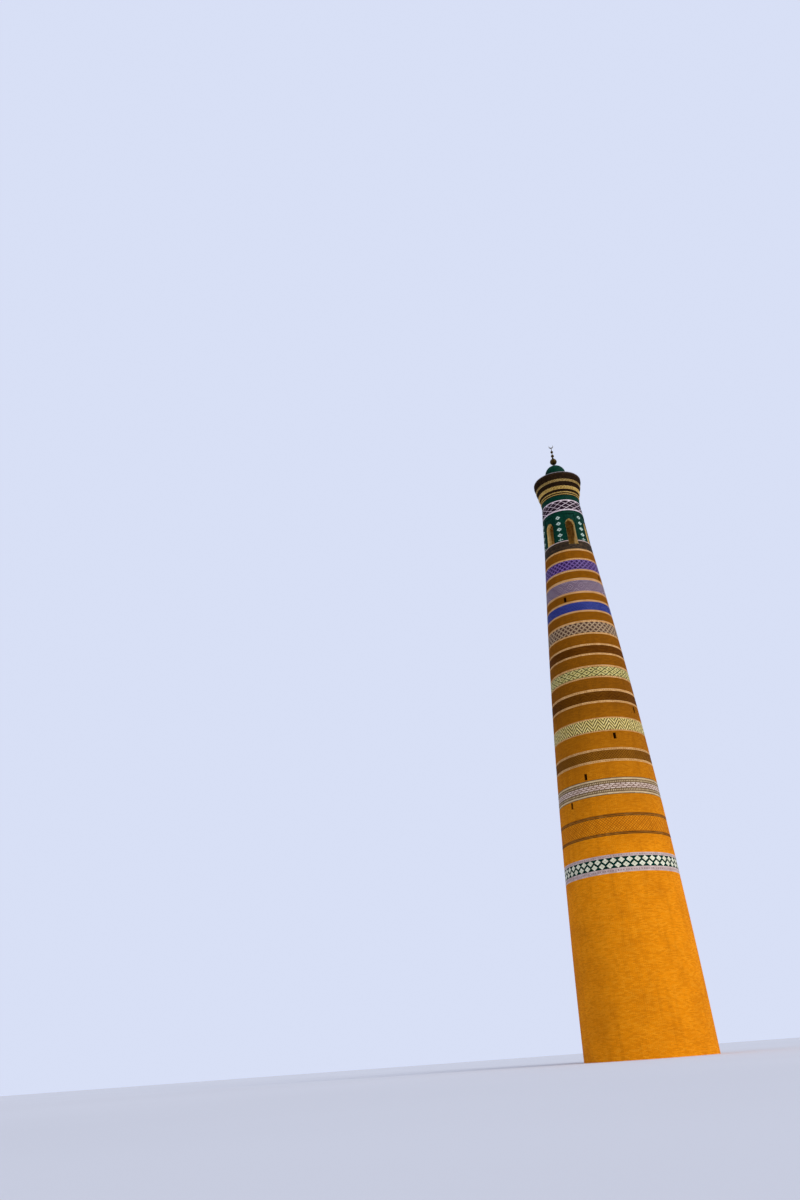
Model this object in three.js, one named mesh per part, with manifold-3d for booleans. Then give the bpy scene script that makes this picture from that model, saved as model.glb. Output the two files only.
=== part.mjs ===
// A tall tapering brick minaret with glazed tile bands, an open lantern, a corbelled cornice,
// a small dome and a metal finial, at half of full size.
// Millimetres, +Z up, origin at the centre of the foot. Bearings turn from -Y towards +X.
import * as THREE from 'three';
import { mergeVertices } from 'three/addons/utils/BufferGeometryUtils.js';
import Module from 'manifold-3d';

const wasm = await Module();
wasm.setup();

// Shaft: a round wall that tapers with a slight swelling and thins towards the top
const SIDES = 32;
const FOOT_RADIUS = 2380;
const SHAFT_TOP = 20545;
const SHAFT_TOP_RADIUS = 1052;
const SWELLING = 208;
const WALL_AT_FOOT = 700;
const WALL_AT_TOP = 260;
const FOOTING_TOP = 400;
const LONGEST_STRAIGHT = 1500;
const CUT_MARGIN = 100;

// Courses of the shaft from the footing up: name, height of the top, finish
const COURSES = [
  ['base_drum', 6130, 'brick'],
  ['green_diamond_band', 6800, 'green'],
  ['brick_zone_01', 7490, 'brick'],
  ['lattice_band', 8300, 'latticeBrick'],
  ['brick_zone_02', 9025, 'brick'],
  ['woven_band', 9675, 'woven'],
  ['brick_zone_03', 10320, 'brick'],
  ['brown_band_lower', 10870, 'brown'],
  ['brick_zone_04', 11560, 'brick'],
  ['chevron_band', 12140, 'cream'],
  ['brick_zone_05', 12775, 'brick'],
  ['brown_band_upper', 13365, 'brown'],
  ['brick_zone_06', 13875, 'brick'],
  ['cream_diamond_band', 14435, 'cream'],
  ['brick_zone_07', 14905, 'brick'],
  ['dark_band', 15425, 'darkBrown'],
  ['brick_zone_08', 15875, 'brick'],
  ['mauve_lattice_band', 16530, 'mauve'],
  ['brick_zone_09', 16945, 'brick'],
  ['blue_band', 17520, 'blue'],
  ['brick_zone_10', 17875, 'brick'],
  ['fret_band', 18620, 'fret'],
  ['brick_zone_11', 18985, 'brick'],
  ['violet_band', 19650, 'violet'],
  ['brick_zone_12', 20060, 'brick'],
  ['mottled_band', SHAFT_TOP, 'darkBrown'],
];

// Slits that light the shaft: course, bearing in degrees, height of the foot
const SLIT_WIDTH = 115;
const SLIT_HEIGHT = 250;
const SLIT_INNER_WIDTH = 200;
const SLITS = [
  ['base_drum', 90, 2300],
  ['base_drum', 180, 4400],
  ['brick_zone_01', 270, 7020],
  ['brick_zone_02', -45, 8755],
  ['brick_zone_03', -22, 9720],
  ['brick_zone_04', 19.5, 11225],
  ['brick_zone_05', 62, 12440],
  ['brick_zone_06', 90, 13495],
  ['brick_zone_07', 150, 14545],
  ['brick_zone_08', 210, 15525],
  ['brick_zone_09', 270, 16615],
  ['brick_zone_10', -20, 17545],
  ['brick_zone_11', 65, 18645],
  ['brick_zone_12', 180, 19735],
];

// Lantern: six bays, a pier between each pair of openings
const BAYS = 6;
const BAY_PITCH = 360 / BAYS;
const FIRST_BAY = 17;
const LANTERN_INNER = 760;
const LANTERN_TOP = 22220;
const LANTERN_TOP_RADIUS = 932;
const SILL_TOP = 20620;
const SPRING = 21500;
const OPENING_HALF_WIDTH = 208;
const ARCH_RADIUS = 300;
const RECESS_DEPTH = 35;
const RECESS_TOP = 22045;
const RECESS_HALF_ANGLE = 16;
const FLOOR_LEVEL = 20410;
const FLOOR_THICKNESS = 120;
const FLOOR_LEDGE = 80;
const CUTTER_START = LANTERN_INNER / 2;
const CUTTER_END = SHAFT_TOP_RADIUS + CUT_MARGIN;

// Neck and cornice
const NECK_INNER = 640;
const NECK_LATTICE_TOP = 22815;
const NECK_RADIUS = 870;
const NECK_TOP = 23065;
const LIP = 60;
const TIER_RECESS = 12;
const TIERS = [
  ['cornice_tier_1', 23257, 892],
  ['cornice_tier_2', 23538, 960],
  ['cornice_tier_3', 23857, 1029],
];
const RIM_RADIUS = 1080;
const RIM_FOOT = 24071;
const ROOF = 24197;
const ROOF_UNDERSIDE = 24057;
const EYE_RADIUS = 370;

// Dome and finial
const DOME_SIDES = 24;
const DOME_RADIUS = 476;
const DOME_CENTRE = 24697;
const DOME_DRUM_RADIUS = 455;
const DOME_INNER = 380;
const DOME_APEX_RADIUS = 60;
const FINIAL_SIDES = 16;
const ROD_RADIUS = 14;
const BALLS = [
  [25448, 158],
  [25779, 74],
  [26006, 64],
];
const COLLAR_RADIUS = 28;
const COLLAR_HEIGHT = 40;
const BALL_NECK_RADIUS = 21;
const CONE_STARTS_AT = 55;
const CONE_TOP = 25700;
const ROD_TOP = 26216;
const CRESCENT_RADIUS = 104;
const CRESCENT_INNER_RADIUS = 84;
const CRESCENT_INNER_RISE = 34;
const CRESCENT_THICKNESS = 24;
const CRESCENT_FOOT = 26;

// Plain finishes, one for each kind of surface
const FINISHES = {
  brick: { color: 0xb9801c, roughness: 0.9 },
  latticeBrick: { color: 0xb07a1a, roughness: 0.85 },
  green: { color: 0x1b4a3e, roughness: 0.35 },
  woven: { color: 0xb09a96, roughness: 0.5 },
  brown: { color: 0x6d450c, roughness: 0.5 },
  cream: { color: 0xcfc98a, roughness: 0.45 },
  darkBrown: { color: 0x4a2c08, roughness: 0.5 },
  mauve: { color: 0x96706c, roughness: 0.45 },
  blue: { color: 0x24408f, roughness: 0.3 },
  fret: { color: 0xcfc6d2, roughness: 0.4 },
  violet: { color: 0x5b3a94, roughness: 0.35 },
  lanternGreen: { color: 0x0c4b3c, roughness: 0.35 },
  white: { color: 0xdcd6cc, roughness: 0.5 },
  cornice: { color: 0x4d3210, roughness: 0.6 },
  gilt: { color: 0x8d7136, roughness: 0.35, metalness: 0.9 },
};
const materials = {};
for (const [name, values] of Object.entries(FINISHES)) {
  materials[name] = new THREE.MeshStandardMaterial(values);
}

const tower = new THREE.Group();
tower.name = 'minaret';

function radians(degrees) {
  return THREE.MathUtils.degToRad(degrees);
}

function shaftRadius(height) {
  const t = height / SHAFT_TOP;
  return FOOT_RADIUS + (SHAFT_TOP_RADIUS - FOOT_RADIUS) * t + 4 * SWELLING * t * (1 - t);
}

function shaftInnerRadius(height) {
  const t = height / SHAFT_TOP;
  return shaftRadius(height) - WALL_AT_FOOT - (WALL_AT_TOP - WALL_AT_FOOT) * t;
}

function lanternRadius(height) {
  const t = (height - SHAFT_TOP) / (LANTERN_TOP - SHAFT_TOP);
  return SHAFT_TOP_RADIUS + (LANTERN_TOP_RADIUS - SHAFT_TOP_RADIUS) * t;
}

// A turned body from [radius, height] pairs that run up the outside and down the inside
function turned(profile, sides = SIDES) {
  const points = profile.map(([radius, height]) => new THREE.Vector2(radius, height));
  const geometry = new THREE.LatheGeometry(points, sides);
  geometry.rotateX(Math.PI / 2);
  return welded(geometry);
}

function welded(geometry) {
  geometry.deleteAttribute('normal');
  geometry.deleteAttribute('uv');
  return mergeVertices(geometry, 1e-3);
}

function ring(bottom, top, outer, inner, steps = 1) {
  const profile = [];
  for (let i = 0; i <= steps; i += 1) {
    const height = bottom + (top - bottom) * i / steps;
    profile.push([outer(height), height]);
  }
  for (let i = steps; i >= 0; i -= 1) {
    const height = bottom + (top - bottom) * i / steps;
    profile.push([inner(height), height]);
  }
  profile.push(profile[0]);
  return turned(profile);
}

function solid(geometry) {
  const body = geometry.attributes.normal ? welded(geometry) : geometry;
  return new wasm.Manifold(new wasm.Mesh({
    numProp: 3,
    vertProperties: Float32Array.from(body.attributes.position.array),
    triVerts: Uint32Array.from(body.index.array),
  }));
}

function geometryOf(body) {
  const mesh = body.getMesh();
  const geometry = new THREE.BufferGeometry();
  geometry.setAttribute('position', new THREE.BufferAttribute(mesh.vertProperties, 3));
  geometry.setIndex(new THREE.BufferAttribute(mesh.triVerts, 1));
  return geometry;
}

function add(name, geometry, finish) {
  const mesh = new THREE.Mesh(geometry, materials[finish]);
  mesh.name = name;
  tower.add(mesh);
}

// A block between two radii on a bearing, which may widen from one to the other
function radialBlock(bearing, innerRadius, outerRadius, innerHalf, outerHalf, bottom, top) {
  const plan = new THREE.Shape();
  plan.moveTo(-outerHalf, -outerRadius);
  plan.lineTo(outerHalf, -outerRadius);
  plan.lineTo(innerHalf, -innerRadius);
  plan.lineTo(-innerHalf, -innerRadius);
  plan.closePath();
  const geometry = new THREE.ExtrudeGeometry(plan, { depth: top - bottom, bevelEnabled: false });
  geometry.rotateZ(radians(bearing));
  geometry.translate(0, 0, bottom);
  return solid(geometry);
}

function slitCutter(bearing, bottom) {
  const outer = shaftRadius(bottom) + CUT_MARGIN;
  const inner = shaftInnerRadius(bottom) - CUT_MARGIN;
  const innerHalf = SLIT_INNER_WIDTH / 2;
  return radialBlock(bearing, inner, outer, innerHalf, SLIT_WIDTH / 2, bottom, bottom + SLIT_HEIGHT);
}

// A pointed opening, cut outwards from near the axis
function archCutter(bearing) {
  const springing = SPRING - SILL_TOP;
  const shift = ARCH_RADIUS - OPENING_HALF_WIDTH;
  const apexAngle = Math.acos(shift / ARCH_RADIUS);
  const outline = new THREE.Shape();
  outline.moveTo(-OPENING_HALF_WIDTH, -1);
  outline.lineTo(OPENING_HALF_WIDTH, -1);
  outline.lineTo(OPENING_HALF_WIDTH, springing);
  outline.absarc(-shift, springing, ARCH_RADIUS, 0, apexAngle, false);
  outline.absarc(shift, springing, ARCH_RADIUS, Math.PI - apexAngle, Math.PI, false);
  outline.closePath();
  const geometry = new THREE.ExtrudeGeometry(outline, {
    depth: CUTTER_END - CUTTER_START,
    bevelEnabled: false,
    curveSegments: 4,
  });
  geometry.translate(0, 0, CUTTER_START);
  geometry.rotateX(Math.PI / 2);
  geometry.rotateZ(radians(bearing));
  geometry.translate(0, 0, SILL_TOP);
  return solid(geometry);
}

function bayBearing(bay) {
  return FIRST_BAY + bay * BAY_PITCH;
}

// The first bay's opening runs down to the floor, through the sill
function lowSillCutter() {
  return radialBlock(FIRST_BAY, CUTTER_START, CUTTER_END,
    OPENING_HALF_WIDTH, OPENING_HALF_WIDTH, FLOOR_LEVEL, SILL_TOP + 1);
}

function addFooting() {
  const foot = shaftRadius(0);
  const top = shaftRadius(FOOTING_TOP);
  add('footing', turned([[0, 0], [foot, 0], [top, FOOTING_TOP], [0, FOOTING_TOP]]), 'brick');
}

function addCourse(name, bottom, top, finish) {
  const steps = Math.max(1, Math.round((top - bottom) / LONGEST_STRAIGHT));
  let geometry = ring(bottom, top, shaftRadius, shaftInnerRadius, steps);
  const slits = SLITS.filter(([course]) => course === name);
  if (slits.length > 0) {
    let body = solid(geometry);
    for (const [, bearing, foot] of slits) {
      body = body.subtract(slitCutter(bearing, foot));
    }
    geometry = geometryOf(body);
  }
  add(name, geometry, finish);
}

// The top course has a ledge inside that carries the lantern's floor
function addTopCourse(name, bottom, top, finish) {
  const ledge = FLOOR_LEVEL - FLOOR_THICKNESS;
  const inner = shaftInnerRadius(bottom);
  const profile = [
    [shaftRadius(bottom), bottom],
    [shaftRadius(top), top],
    [inner + FLOOR_LEDGE, top],
    [inner + FLOOR_LEDGE, ledge],
    [inner, ledge],
    [inner, bottom],
    [shaftRadius(bottom), bottom],
  ];
  const body = solid(turned(profile)).subtract(lowSillCutter());
  add(name, geometryOf(body), finish);
  const floorRadius = inner + FLOOR_LEDGE - 1;
  const floor = [[0, ledge], [floorRadius, ledge], [floorRadius, FLOOR_LEVEL], [0, FLOOR_LEVEL]];
  add('lantern_floor', turned(floor), 'brick');
}

function addShaft() {
  let bottom = FOOTING_TOP;
  for (const [name, top, finish] of COURSES) {
    if (top === SHAFT_TOP) {
      addTopCourse(name, bottom, top, finish);
    } else {
      addCourse(name, bottom, top, finish);
    }
    bottom = top;
  }
}

// A wedge from the axis out past the lantern wall, as wide as the angle on each side of the bearing
function sector(bearing, halfAngle, bottom, top) {
  const reach = CUTTER_END + CUT_MARGIN;
  const half = Math.tan(radians(halfAngle)) * reach;
  return radialBlock(bearing, 1, reach, 1, half, bottom, top);
}

function recessCutter(bearing) {
  const faceOf = (height) => lanternRadius(height) - RECESS_DEPTH;
  const beyond = (height) => lanternRadius(height) + CUT_MARGIN;
  const shell = solid(ring(SILL_TOP - 1, RECESS_TOP, beyond, faceOf));
  return shell.intersect(sector(bearing, RECESS_HALF_ANGLE, SILL_TOP - 2, RECESS_TOP + 1));
}

function addLantern() {
  const sill = solid(ring(SHAFT_TOP, SILL_TOP, lanternRadius, () => LANTERN_INNER));
  add('lantern_sill', geometryOf(sill.subtract(lowSillCutter())), 'white');

  let wall = solid(ring(SILL_TOP, LANTERN_TOP, lanternRadius, () => LANTERN_INNER, 2));
  for (let bay = 0; bay < BAYS; bay += 1) {
    wall = wall.subtract(archCutter(bayBearing(bay)));
    wall = wall.subtract(recessCutter(bayBearing(bay)));
  }
  for (let pier = 0; pier < BAYS; pier += 1) {
    const share = sector(bayBearing(pier) - BAY_PITCH / 2, BAY_PITCH / 2, SILL_TOP - 1, SPRING);
    add(`lantern_pier_${pier + 1}`, geometryOf(wall.intersect(share)), 'lanternGreen');
  }
  const width = 2 * CUTTER_END;
  const height = LANTERN_TOP - SPRING + 1;
  const above = new THREE.BoxGeometry(width, width, height);
  above.translate(0, 0, SPRING + height / 2);
  add('lantern_head', geometryOf(wall.intersect(solid(above))), 'lanternGreen');
}

function addNeck() {
  const taper = (height) => {
    const t = (height - LANTERN_TOP) / (NECK_LATTICE_TOP - LANTERN_TOP);
    return LANTERN_TOP_RADIUS + (NECK_RADIUS - LANTERN_TOP_RADIUS) * t;
  };
  add('neck_lattice_band', ring(LANTERN_TOP, NECK_LATTICE_TOP, taper, () => NECK_INNER), 'fret');
  const straight = () => NECK_RADIUS;
  add('neck_ring', ring(NECK_LATTICE_TOP, NECK_TOP, straight, () => NECK_INNER), 'lanternGreen');
}

// Each tier leans out from the one below and ends in an upright lip
function addCornice() {
  let bottom = NECK_TOP;
  let below = NECK_RADIUS;
  for (const [name, top, radius] of TIERS) {
    const profile = [
      [below, bottom],
      [radius, top - LIP],
      [radius, top],
      [NECK_INNER, top],
      [NECK_INNER, bottom],
      [below, bottom],
    ];
    add(name, turned(profile), 'cornice');
    bottom = top;
    below = radius - TIER_RECESS;
  }
  const rim = [
    [below, bottom],
    [RIM_RADIUS, RIM_FOOT],
    [RIM_RADIUS, ROOF],
    [EYE_RADIUS, ROOF],
    [EYE_RADIUS, ROOF_UNDERSIDE],
    [NECK_INNER, ROOF_UNDERSIDE],
    [NECK_INNER, bottom],
    [below, bottom],
  ];
  add('cornice_rim', turned(rim), 'cornice');
}

function arcPoints(radius, centre, from, to, steps) {
  const points = [];
  for (let i = 0; i <= steps; i += 1) {
    const angle = radians(from + (to - from) * i / steps);
    points.push([radius * Math.cos(angle), centre + radius * Math.sin(angle)]);
  }
  return points;
}

// A round dome on a low drum, open below to the lantern
function addDome() {
  const drumMeets = -THREE.MathUtils.radToDeg(Math.acos(DOME_DRUM_RADIUS / DOME_RADIUS));
  const plateau = THREE.MathUtils.radToDeg(Math.acos(DOME_APEX_RADIUS / DOME_RADIUS));
  const outside = arcPoints(DOME_RADIUS, DOME_CENTRE, drumMeets, plateau, 9);
  const inside = arcPoints(DOME_INNER, DOME_CENTRE, 90, 0, 6);
  const apex = outside[outside.length - 1][1];
  const profile = [
    [DOME_DRUM_RADIUS, ROOF],
    ...outside,
    [0, apex],
  ];
  const cavity = [
    [0, DOME_CENTRE + DOME_INNER],
    ...inside.slice(1),
    [DOME_INNER, ROOF],
  ];
  const path = [...cavity, ...profile];
  add('dome', turned(path, DOME_SIDES), 'lanternGreen');
  return apex;
}

// Balls on a rod; the lowest and largest runs up into a cone
function addFinial(foot) {
  const profile = [[0, foot], [DOME_APEX_RADIUS - 2, foot], [COLLAR_RADIUS, foot + COLLAR_HEIGHT]];
  for (const [index, [centre, radius]] of BALLS.entries()) {
    const lowest = index === 0;
    const neck = THREE.MathUtils.radToDeg(Math.acos(BALL_NECK_RADIUS / radius));
    const shoulder = lowest ? CONE_STARTS_AT : neck;
    profile.push(...arcPoints(radius, centre, -neck, shoulder, lowest ? 8 : 5));
    if (lowest) {
      profile.push([COLLAR_RADIUS, CONE_TOP]);
    }
  }
  profile.push([ROD_RADIUS, BALLS[2][0] + 2 * BALLS[2][1]], [ROD_RADIUS, ROD_TOP], [0, ROD_TOP]);
  add('finial', turned(profile, FINIAL_SIDES), 'gilt');
}

function addCrescent() {
  const drop = Math.sqrt(CRESCENT_RADIUS ** 2 - CRESCENT_FOOT ** 2);
  const footAngle = Math.atan2(-drop, CRESCENT_FOOT);
  const tipHeight = (CRESCENT_RADIUS ** 2 - CRESCENT_INNER_RADIUS ** 2 + CRESCENT_INNER_RISE ** 2)
    / (2 * CRESCENT_INNER_RISE);
  const tipAngle = Math.asin(tipHeight / CRESCENT_RADIUS);
  const innerTip = Math.asin((tipHeight - CRESCENT_INNER_RISE) / CRESCENT_INNER_RADIUS);
  const outline = new THREE.Shape();
  outline.moveTo(-CRESCENT_FOOT, -drop);
  outline.lineTo(CRESCENT_FOOT, -drop);
  outline.absarc(0, 0, CRESCENT_RADIUS, footAngle, tipAngle, false);
  outline.absarc(0, CRESCENT_INNER_RISE, CRESCENT_INNER_RADIUS, innerTip, Math.PI - innerTip, true);
  outline.absarc(0, 0, CRESCENT_RADIUS, Math.PI - tipAngle, Math.PI - footAngle, false);
  outline.closePath();
  const geometry = new THREE.ExtrudeGeometry(outline, {
    depth: CRESCENT_THICKNESS,
    bevelEnabled: false,
    curveSegments: 10,
  });
  geometry.translate(0, 0, -CRESCENT_THICKNESS / 2);
  geometry.rotateX(Math.PI / 2);
  geometry.translate(0, 0, ROD_TOP + drop);
  add('crescent', geometryOf(solid(geometry)), 'gilt');
}

addFooting();
addShaft();
addLantern();
addNeck();
addCornice();
const domeApex = addDome();
addFinial(domeApex);
addCrescent();

export default tower;
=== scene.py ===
"""A half-scale brick minaret with glazed bands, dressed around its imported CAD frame.

Metres, +Z up. Bearings are in degrees and turn from -Y towards +X.
"""
import math

import bmesh
import bpy
import numpy as np
from mathutils import Matrix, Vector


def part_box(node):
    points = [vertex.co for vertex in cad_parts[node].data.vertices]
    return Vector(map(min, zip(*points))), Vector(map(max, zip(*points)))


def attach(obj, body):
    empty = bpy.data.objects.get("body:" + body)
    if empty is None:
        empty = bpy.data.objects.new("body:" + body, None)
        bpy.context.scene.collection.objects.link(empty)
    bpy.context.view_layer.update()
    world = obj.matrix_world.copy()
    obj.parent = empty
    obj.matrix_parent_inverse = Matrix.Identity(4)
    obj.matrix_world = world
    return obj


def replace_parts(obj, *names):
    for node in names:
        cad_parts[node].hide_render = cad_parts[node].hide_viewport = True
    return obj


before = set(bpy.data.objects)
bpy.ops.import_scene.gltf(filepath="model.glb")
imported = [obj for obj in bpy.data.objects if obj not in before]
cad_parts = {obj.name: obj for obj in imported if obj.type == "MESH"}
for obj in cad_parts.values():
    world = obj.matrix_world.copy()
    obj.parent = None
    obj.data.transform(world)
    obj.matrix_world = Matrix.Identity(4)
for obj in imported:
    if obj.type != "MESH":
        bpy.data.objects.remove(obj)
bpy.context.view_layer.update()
rng = np.random.default_rng(2024)


# Shaft, read from the frame: it tapers with a slight swelling
FOOT_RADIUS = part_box("footing")[1].x
SHAFT_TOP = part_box("mottled_band")[1].z
SHAFT_TOP_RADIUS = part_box("lantern_sill")[1].x
SWELLING = 0.208
WALL_AT_FOOT = 0.70
WALL_AT_TOP = 0.26

# Lantern, neck and cornice
BAYS = 6
BAY_PITCH = 360 / BAYS
FIRST_BAY = 17
LANTERN_INNER = 0.760
SILL_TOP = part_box("lantern_sill")[1].z
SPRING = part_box("lantern_head")[0].z
LANTERN_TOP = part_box("lantern_head")[1].z
LANTERN_TOP_RADIUS = 0.932
OPENING_HALF_WIDTH = 0.208
ARCH_RADIUS = 0.300
ARCH_SHIFT = ARCH_RADIUS - OPENING_HALF_WIDTH
ARCH_CROWN = math.acos(ARCH_SHIFT / ARCH_RADIUS)
ARCH_RIM_WIDTH = 0.022
RECESS_DEPTH = 0.035
RECESS_TOP = 22.045
RECESS_HALF_ANGLE = 16
FLOOR_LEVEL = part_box("lantern_floor")[1].z
FLOOR_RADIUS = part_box("lantern_floor")[1].x + 0.001
PAVING_BED = 0.008
PIER_MARKS = (20.947, 21.255, 21.563, 21.871)
PIER_STAR = 20.700
NECK_INNER = 0.640
NECK_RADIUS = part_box("neck_ring")[1].x
RIM_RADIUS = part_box("cornice_rim")[1].x
RIM_FOOT = 24.071
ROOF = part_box("cornice_rim")[1].z
TIER_LIP = 0.060
TIER_RECESS = 0.012

# Dome
DOME_RADIUS = 0.476
DOME_CENTRE = 24.697
DRUM_RADIUS = 0.455

# Brickwork at true half scale: a 270 by 60 mm brick and its 10 mm joint
BRICK_LENGTH = 0.140
BRICK_PITCH = 0.035
JOINT = 0.005
PAVING_WIDTH = 0.070
LANTERN_ROW = 0.034
CORNICE_ROW = 0.036
TILE_JOINT = 0.0025
TILE_DEPTH = 0.010

# How far tiles, the ground between them and the wall behind lie inside the solid's face, and by how
# much their depth varies
FACE_INSET = 0.001
FIELD_INSET = 0.003
GROUND_INSET = 0.004
SKIN_INSET = 0.007
RELIEF = 0.0015
FINE_RELIEF = 0.001

# Steps of the walls behind the bricks: degrees round, metres up
COLUMN_STEP = 3
WALL_ROW = 1.2

# Materials: where painted shade turns the ochre brick browner higher up, and the scale of the fine grain
PAINTED_SHADE_FROM_TO = (6.6, 13.2)
FINE_GRAIN = 90

# Slits that light the shaft: course, bearing, height of the foot
SLIT_WIDTH = 0.115
SLIT_HEIGHT = 0.250
SLIT_INNER_WIDTH = 0.200
SLITS = [
    ("base_drum", 90, 2.300),
    ("base_drum", 180, 4.400),
    ("brick_zone_01", 270, 7.020),
    ("brick_zone_02", 315, 8.755),
    ("brick_zone_03", 338, 9.720),
    ("brick_zone_04", 19.5, 11.225),
    ("brick_zone_05", 62, 12.440),
    ("brick_zone_06", 90, 13.495),
    ("brick_zone_07", 150, 14.545),
    ("brick_zone_08", 210, 15.525),
    ("brick_zone_09", 270, 16.615),
    ("brick_zone_10", 340, 17.545),
    ("brick_zone_11", 65, 18.645),
    ("brick_zone_12", 180, 19.735),
]


def shaft_radius(height):
    t = height / SHAFT_TOP
    return FOOT_RADIUS + (SHAFT_TOP_RADIUS - FOOT_RADIUS) * t + 4 * SWELLING * t * (1 - t)


def shaft_inner(height):
    t = height / SHAFT_TOP
    return shaft_radius(height) - WALL_AT_FOOT - (WALL_AT_TOP - WALL_AT_FOOT) * t


def shaft_skin(height):
    """The wall behind the bricks and tiles of the shaft."""
    return shaft_radius(height) - SKIN_INSET


def lantern_radius(height):
    t = (height - SHAFT_TOP) / (LANTERN_TOP - SHAFT_TOP)
    return SHAFT_TOP_RADIUS + (LANTERN_TOP_RADIUS - SHAFT_TOP_RADIUS) * t


def lantern_skin(height):
    return lantern_radius(height) - SKIN_INSET


def neck_radius(height):
    low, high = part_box("neck_lattice_band")[0].z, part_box("neck_lattice_band")[1].z
    t = (height - low) / (high - low)
    return LANTERN_TOP_RADIUS + (NECK_RADIUS - LANTERN_TOP_RADIUS) * t


def heights_of(node):
    low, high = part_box(node)
    return low.z, high.z


def ring_points(bearing, radius, height):
    """Points at bearings in degrees; the arguments may be arrays of one shape."""
    angle, radius, height = np.broadcast_arrays(np.radians(bearing), radius, height)
    return np.stack([radius * np.sin(angle), -radius * np.cos(angle), height], axis=-1)


# Materials

class Finish:
    """A procedural material, and the few kinds of node it is made of."""

    def __init__(self, name):
        self.material = bpy.data.materials.new(name)
        self.material.use_nodes = True
        self.nodes = self.material.node_tree.nodes
        self.link = self.material.node_tree.links.new
        self.shader = self.nodes["Principled BSDF"]
        self.where = self.nodes.new("ShaderNodeTexCoord").outputs["Object"]

    def noise(self, scale, detail=4, stretch=(1, 1, 1)):
        """Noise in the object's own coordinates, stretched along the axes."""
        mapping = self.nodes.new("ShaderNodeMapping")
        mapping.inputs["Scale"].default_value = stretch
        self.link(self.where, mapping.inputs["Vector"])
        texture = self.nodes.new("ShaderNodeTexNoise")
        texture.inputs["Scale"].default_value = scale
        texture.inputs["Detail"].default_value = detail
        self.link(mapping.outputs["Vector"], texture.inputs["Vector"])
        return texture.outputs["Fac"]

    def spread(self, value, low, high, to_low, to_high):
        """Value between low and high becomes a number between to_low and to_high."""
        change = self.nodes.new("ShaderNodeMapRange")
        for name, number in (("From Min", low), ("From Max", high), ("To Min", to_low), ("To Max", to_high)):
            change.inputs[name].default_value = number
        self.link(value, change.inputs["Value"])
        return change.outputs["Result"]

    def mixed(self, amount, first, second):
        """Two colours, each plain or from a socket, mixed by a socket."""
        mix = self.nodes.new("ShaderNodeMix")
        mix.data_type = "RGBA"
        for name, value in (("Factor", amount), ("A", first), ("B", second)):
            kind = "VALUE" if name == "Factor" else "RGBA"
            socket = next(s for s in mix.inputs if s.name == name and s.type == kind)
            if isinstance(value, bpy.types.NodeSocket):
                self.link(value, socket)
            else:
                socket.default_value = value
        return next(s for s in mix.outputs if s.type == "RGBA")


def colour(red, green, blue):
    """A colour given as it looks on a screen, 0 to 255, in the linear values that shaders take."""
    def linear(value):
        value /= 255
        return value / 12.92 if value <= 0.04045 else ((value + 0.055) / 1.055) ** 2.4
    return (linear(red), linear(green), linear(blue), 1)


def scaled(shade, factor):
    """A linear colour made darker or lighter."""
    return tuple(min(1, factor * v) for v in shade[:3]) + (1,)


def surface(name, main, shade, pale, rough, stain, variety, gloss, aloft=None, metal=0.0):
    """A fired or glazed finish: each brick has a tone of its own, over stains, streaks and fine grain.

    main is the usual colour, shade the darkest bricks and stains, pale the lightest. The main colour
    turns to aloft higher up the tower: painted shade, which darkens the brick towards the top.
    """
    finish = Finish(name)
    shader, mixed, spread = finish.shader, finish.mixed, finish.spread
    shader.inputs["Metallic"].default_value = metal
    shader.inputs["Specular IOR Level"].default_value = gloss
    main, shade, pale = colour(*main), colour(*shade), colour(*pale)
    attribute = finish.nodes.new("ShaderNodeAttribute")
    attribute.attribute_name = "tone"
    tone = attribute.outputs["Fac"]
    if aloft:
        aloft = colour(*aloft)
        # Painted shade: the colours darken between two heights up the tower.
        split = finish.nodes.new("ShaderNodeSeparateXYZ")
        finish.link(finish.where, split.inputs["Vector"])
        climb = spread(split.outputs["Z"], *PAINTED_SHADE_FROM_TO, 0.0, 1.0)
        main = mixed(climb, main, aloft)
        shade = mixed(climb, shade, scaled(aloft, 0.55))
        pale = mixed(climb, pale, scaled(aloft, 1.5))
    patches = finish.noise(0.9, 5)
    streaks = finish.noise(5, 4, (1, 1, 0.12))
    fine = finish.noise(FINE_GRAIN, 3)
    look = mixed(spread(tone, 0.0, 0.5, variety, 0.0), main, shade)
    look = mixed(spread(tone, 0.5, 1.0, 0.0, variety), look, pale)
    look = mixed(spread(patches, 0.45, 0.72, 0.0, stain), look, shade)
    look = mixed(spread(streaks, 0.52, 0.75, 0.0, stain), look, shade)
    look = mixed(spread(fine, 0.4, 0.7, 0.0, stain * 0.4), look, pale)
    finish.link(look, shader.inputs["Base Color"])
    finish.link(spread(fine, 0.3, 0.7, rough - 0.1, rough + 0.1), shader.inputs["Roughness"])
    bump = finish.nodes.new("ShaderNodeBump")
    bump.inputs["Strength"].default_value = 0.65 * rough
    bump.inputs["Distance"].default_value = 0.0015
    finish.link(fine, bump.inputs["Height"])
    finish.link(bump.outputs["Normal"], shader.inputs["Normal"])
    return finish.material
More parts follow.
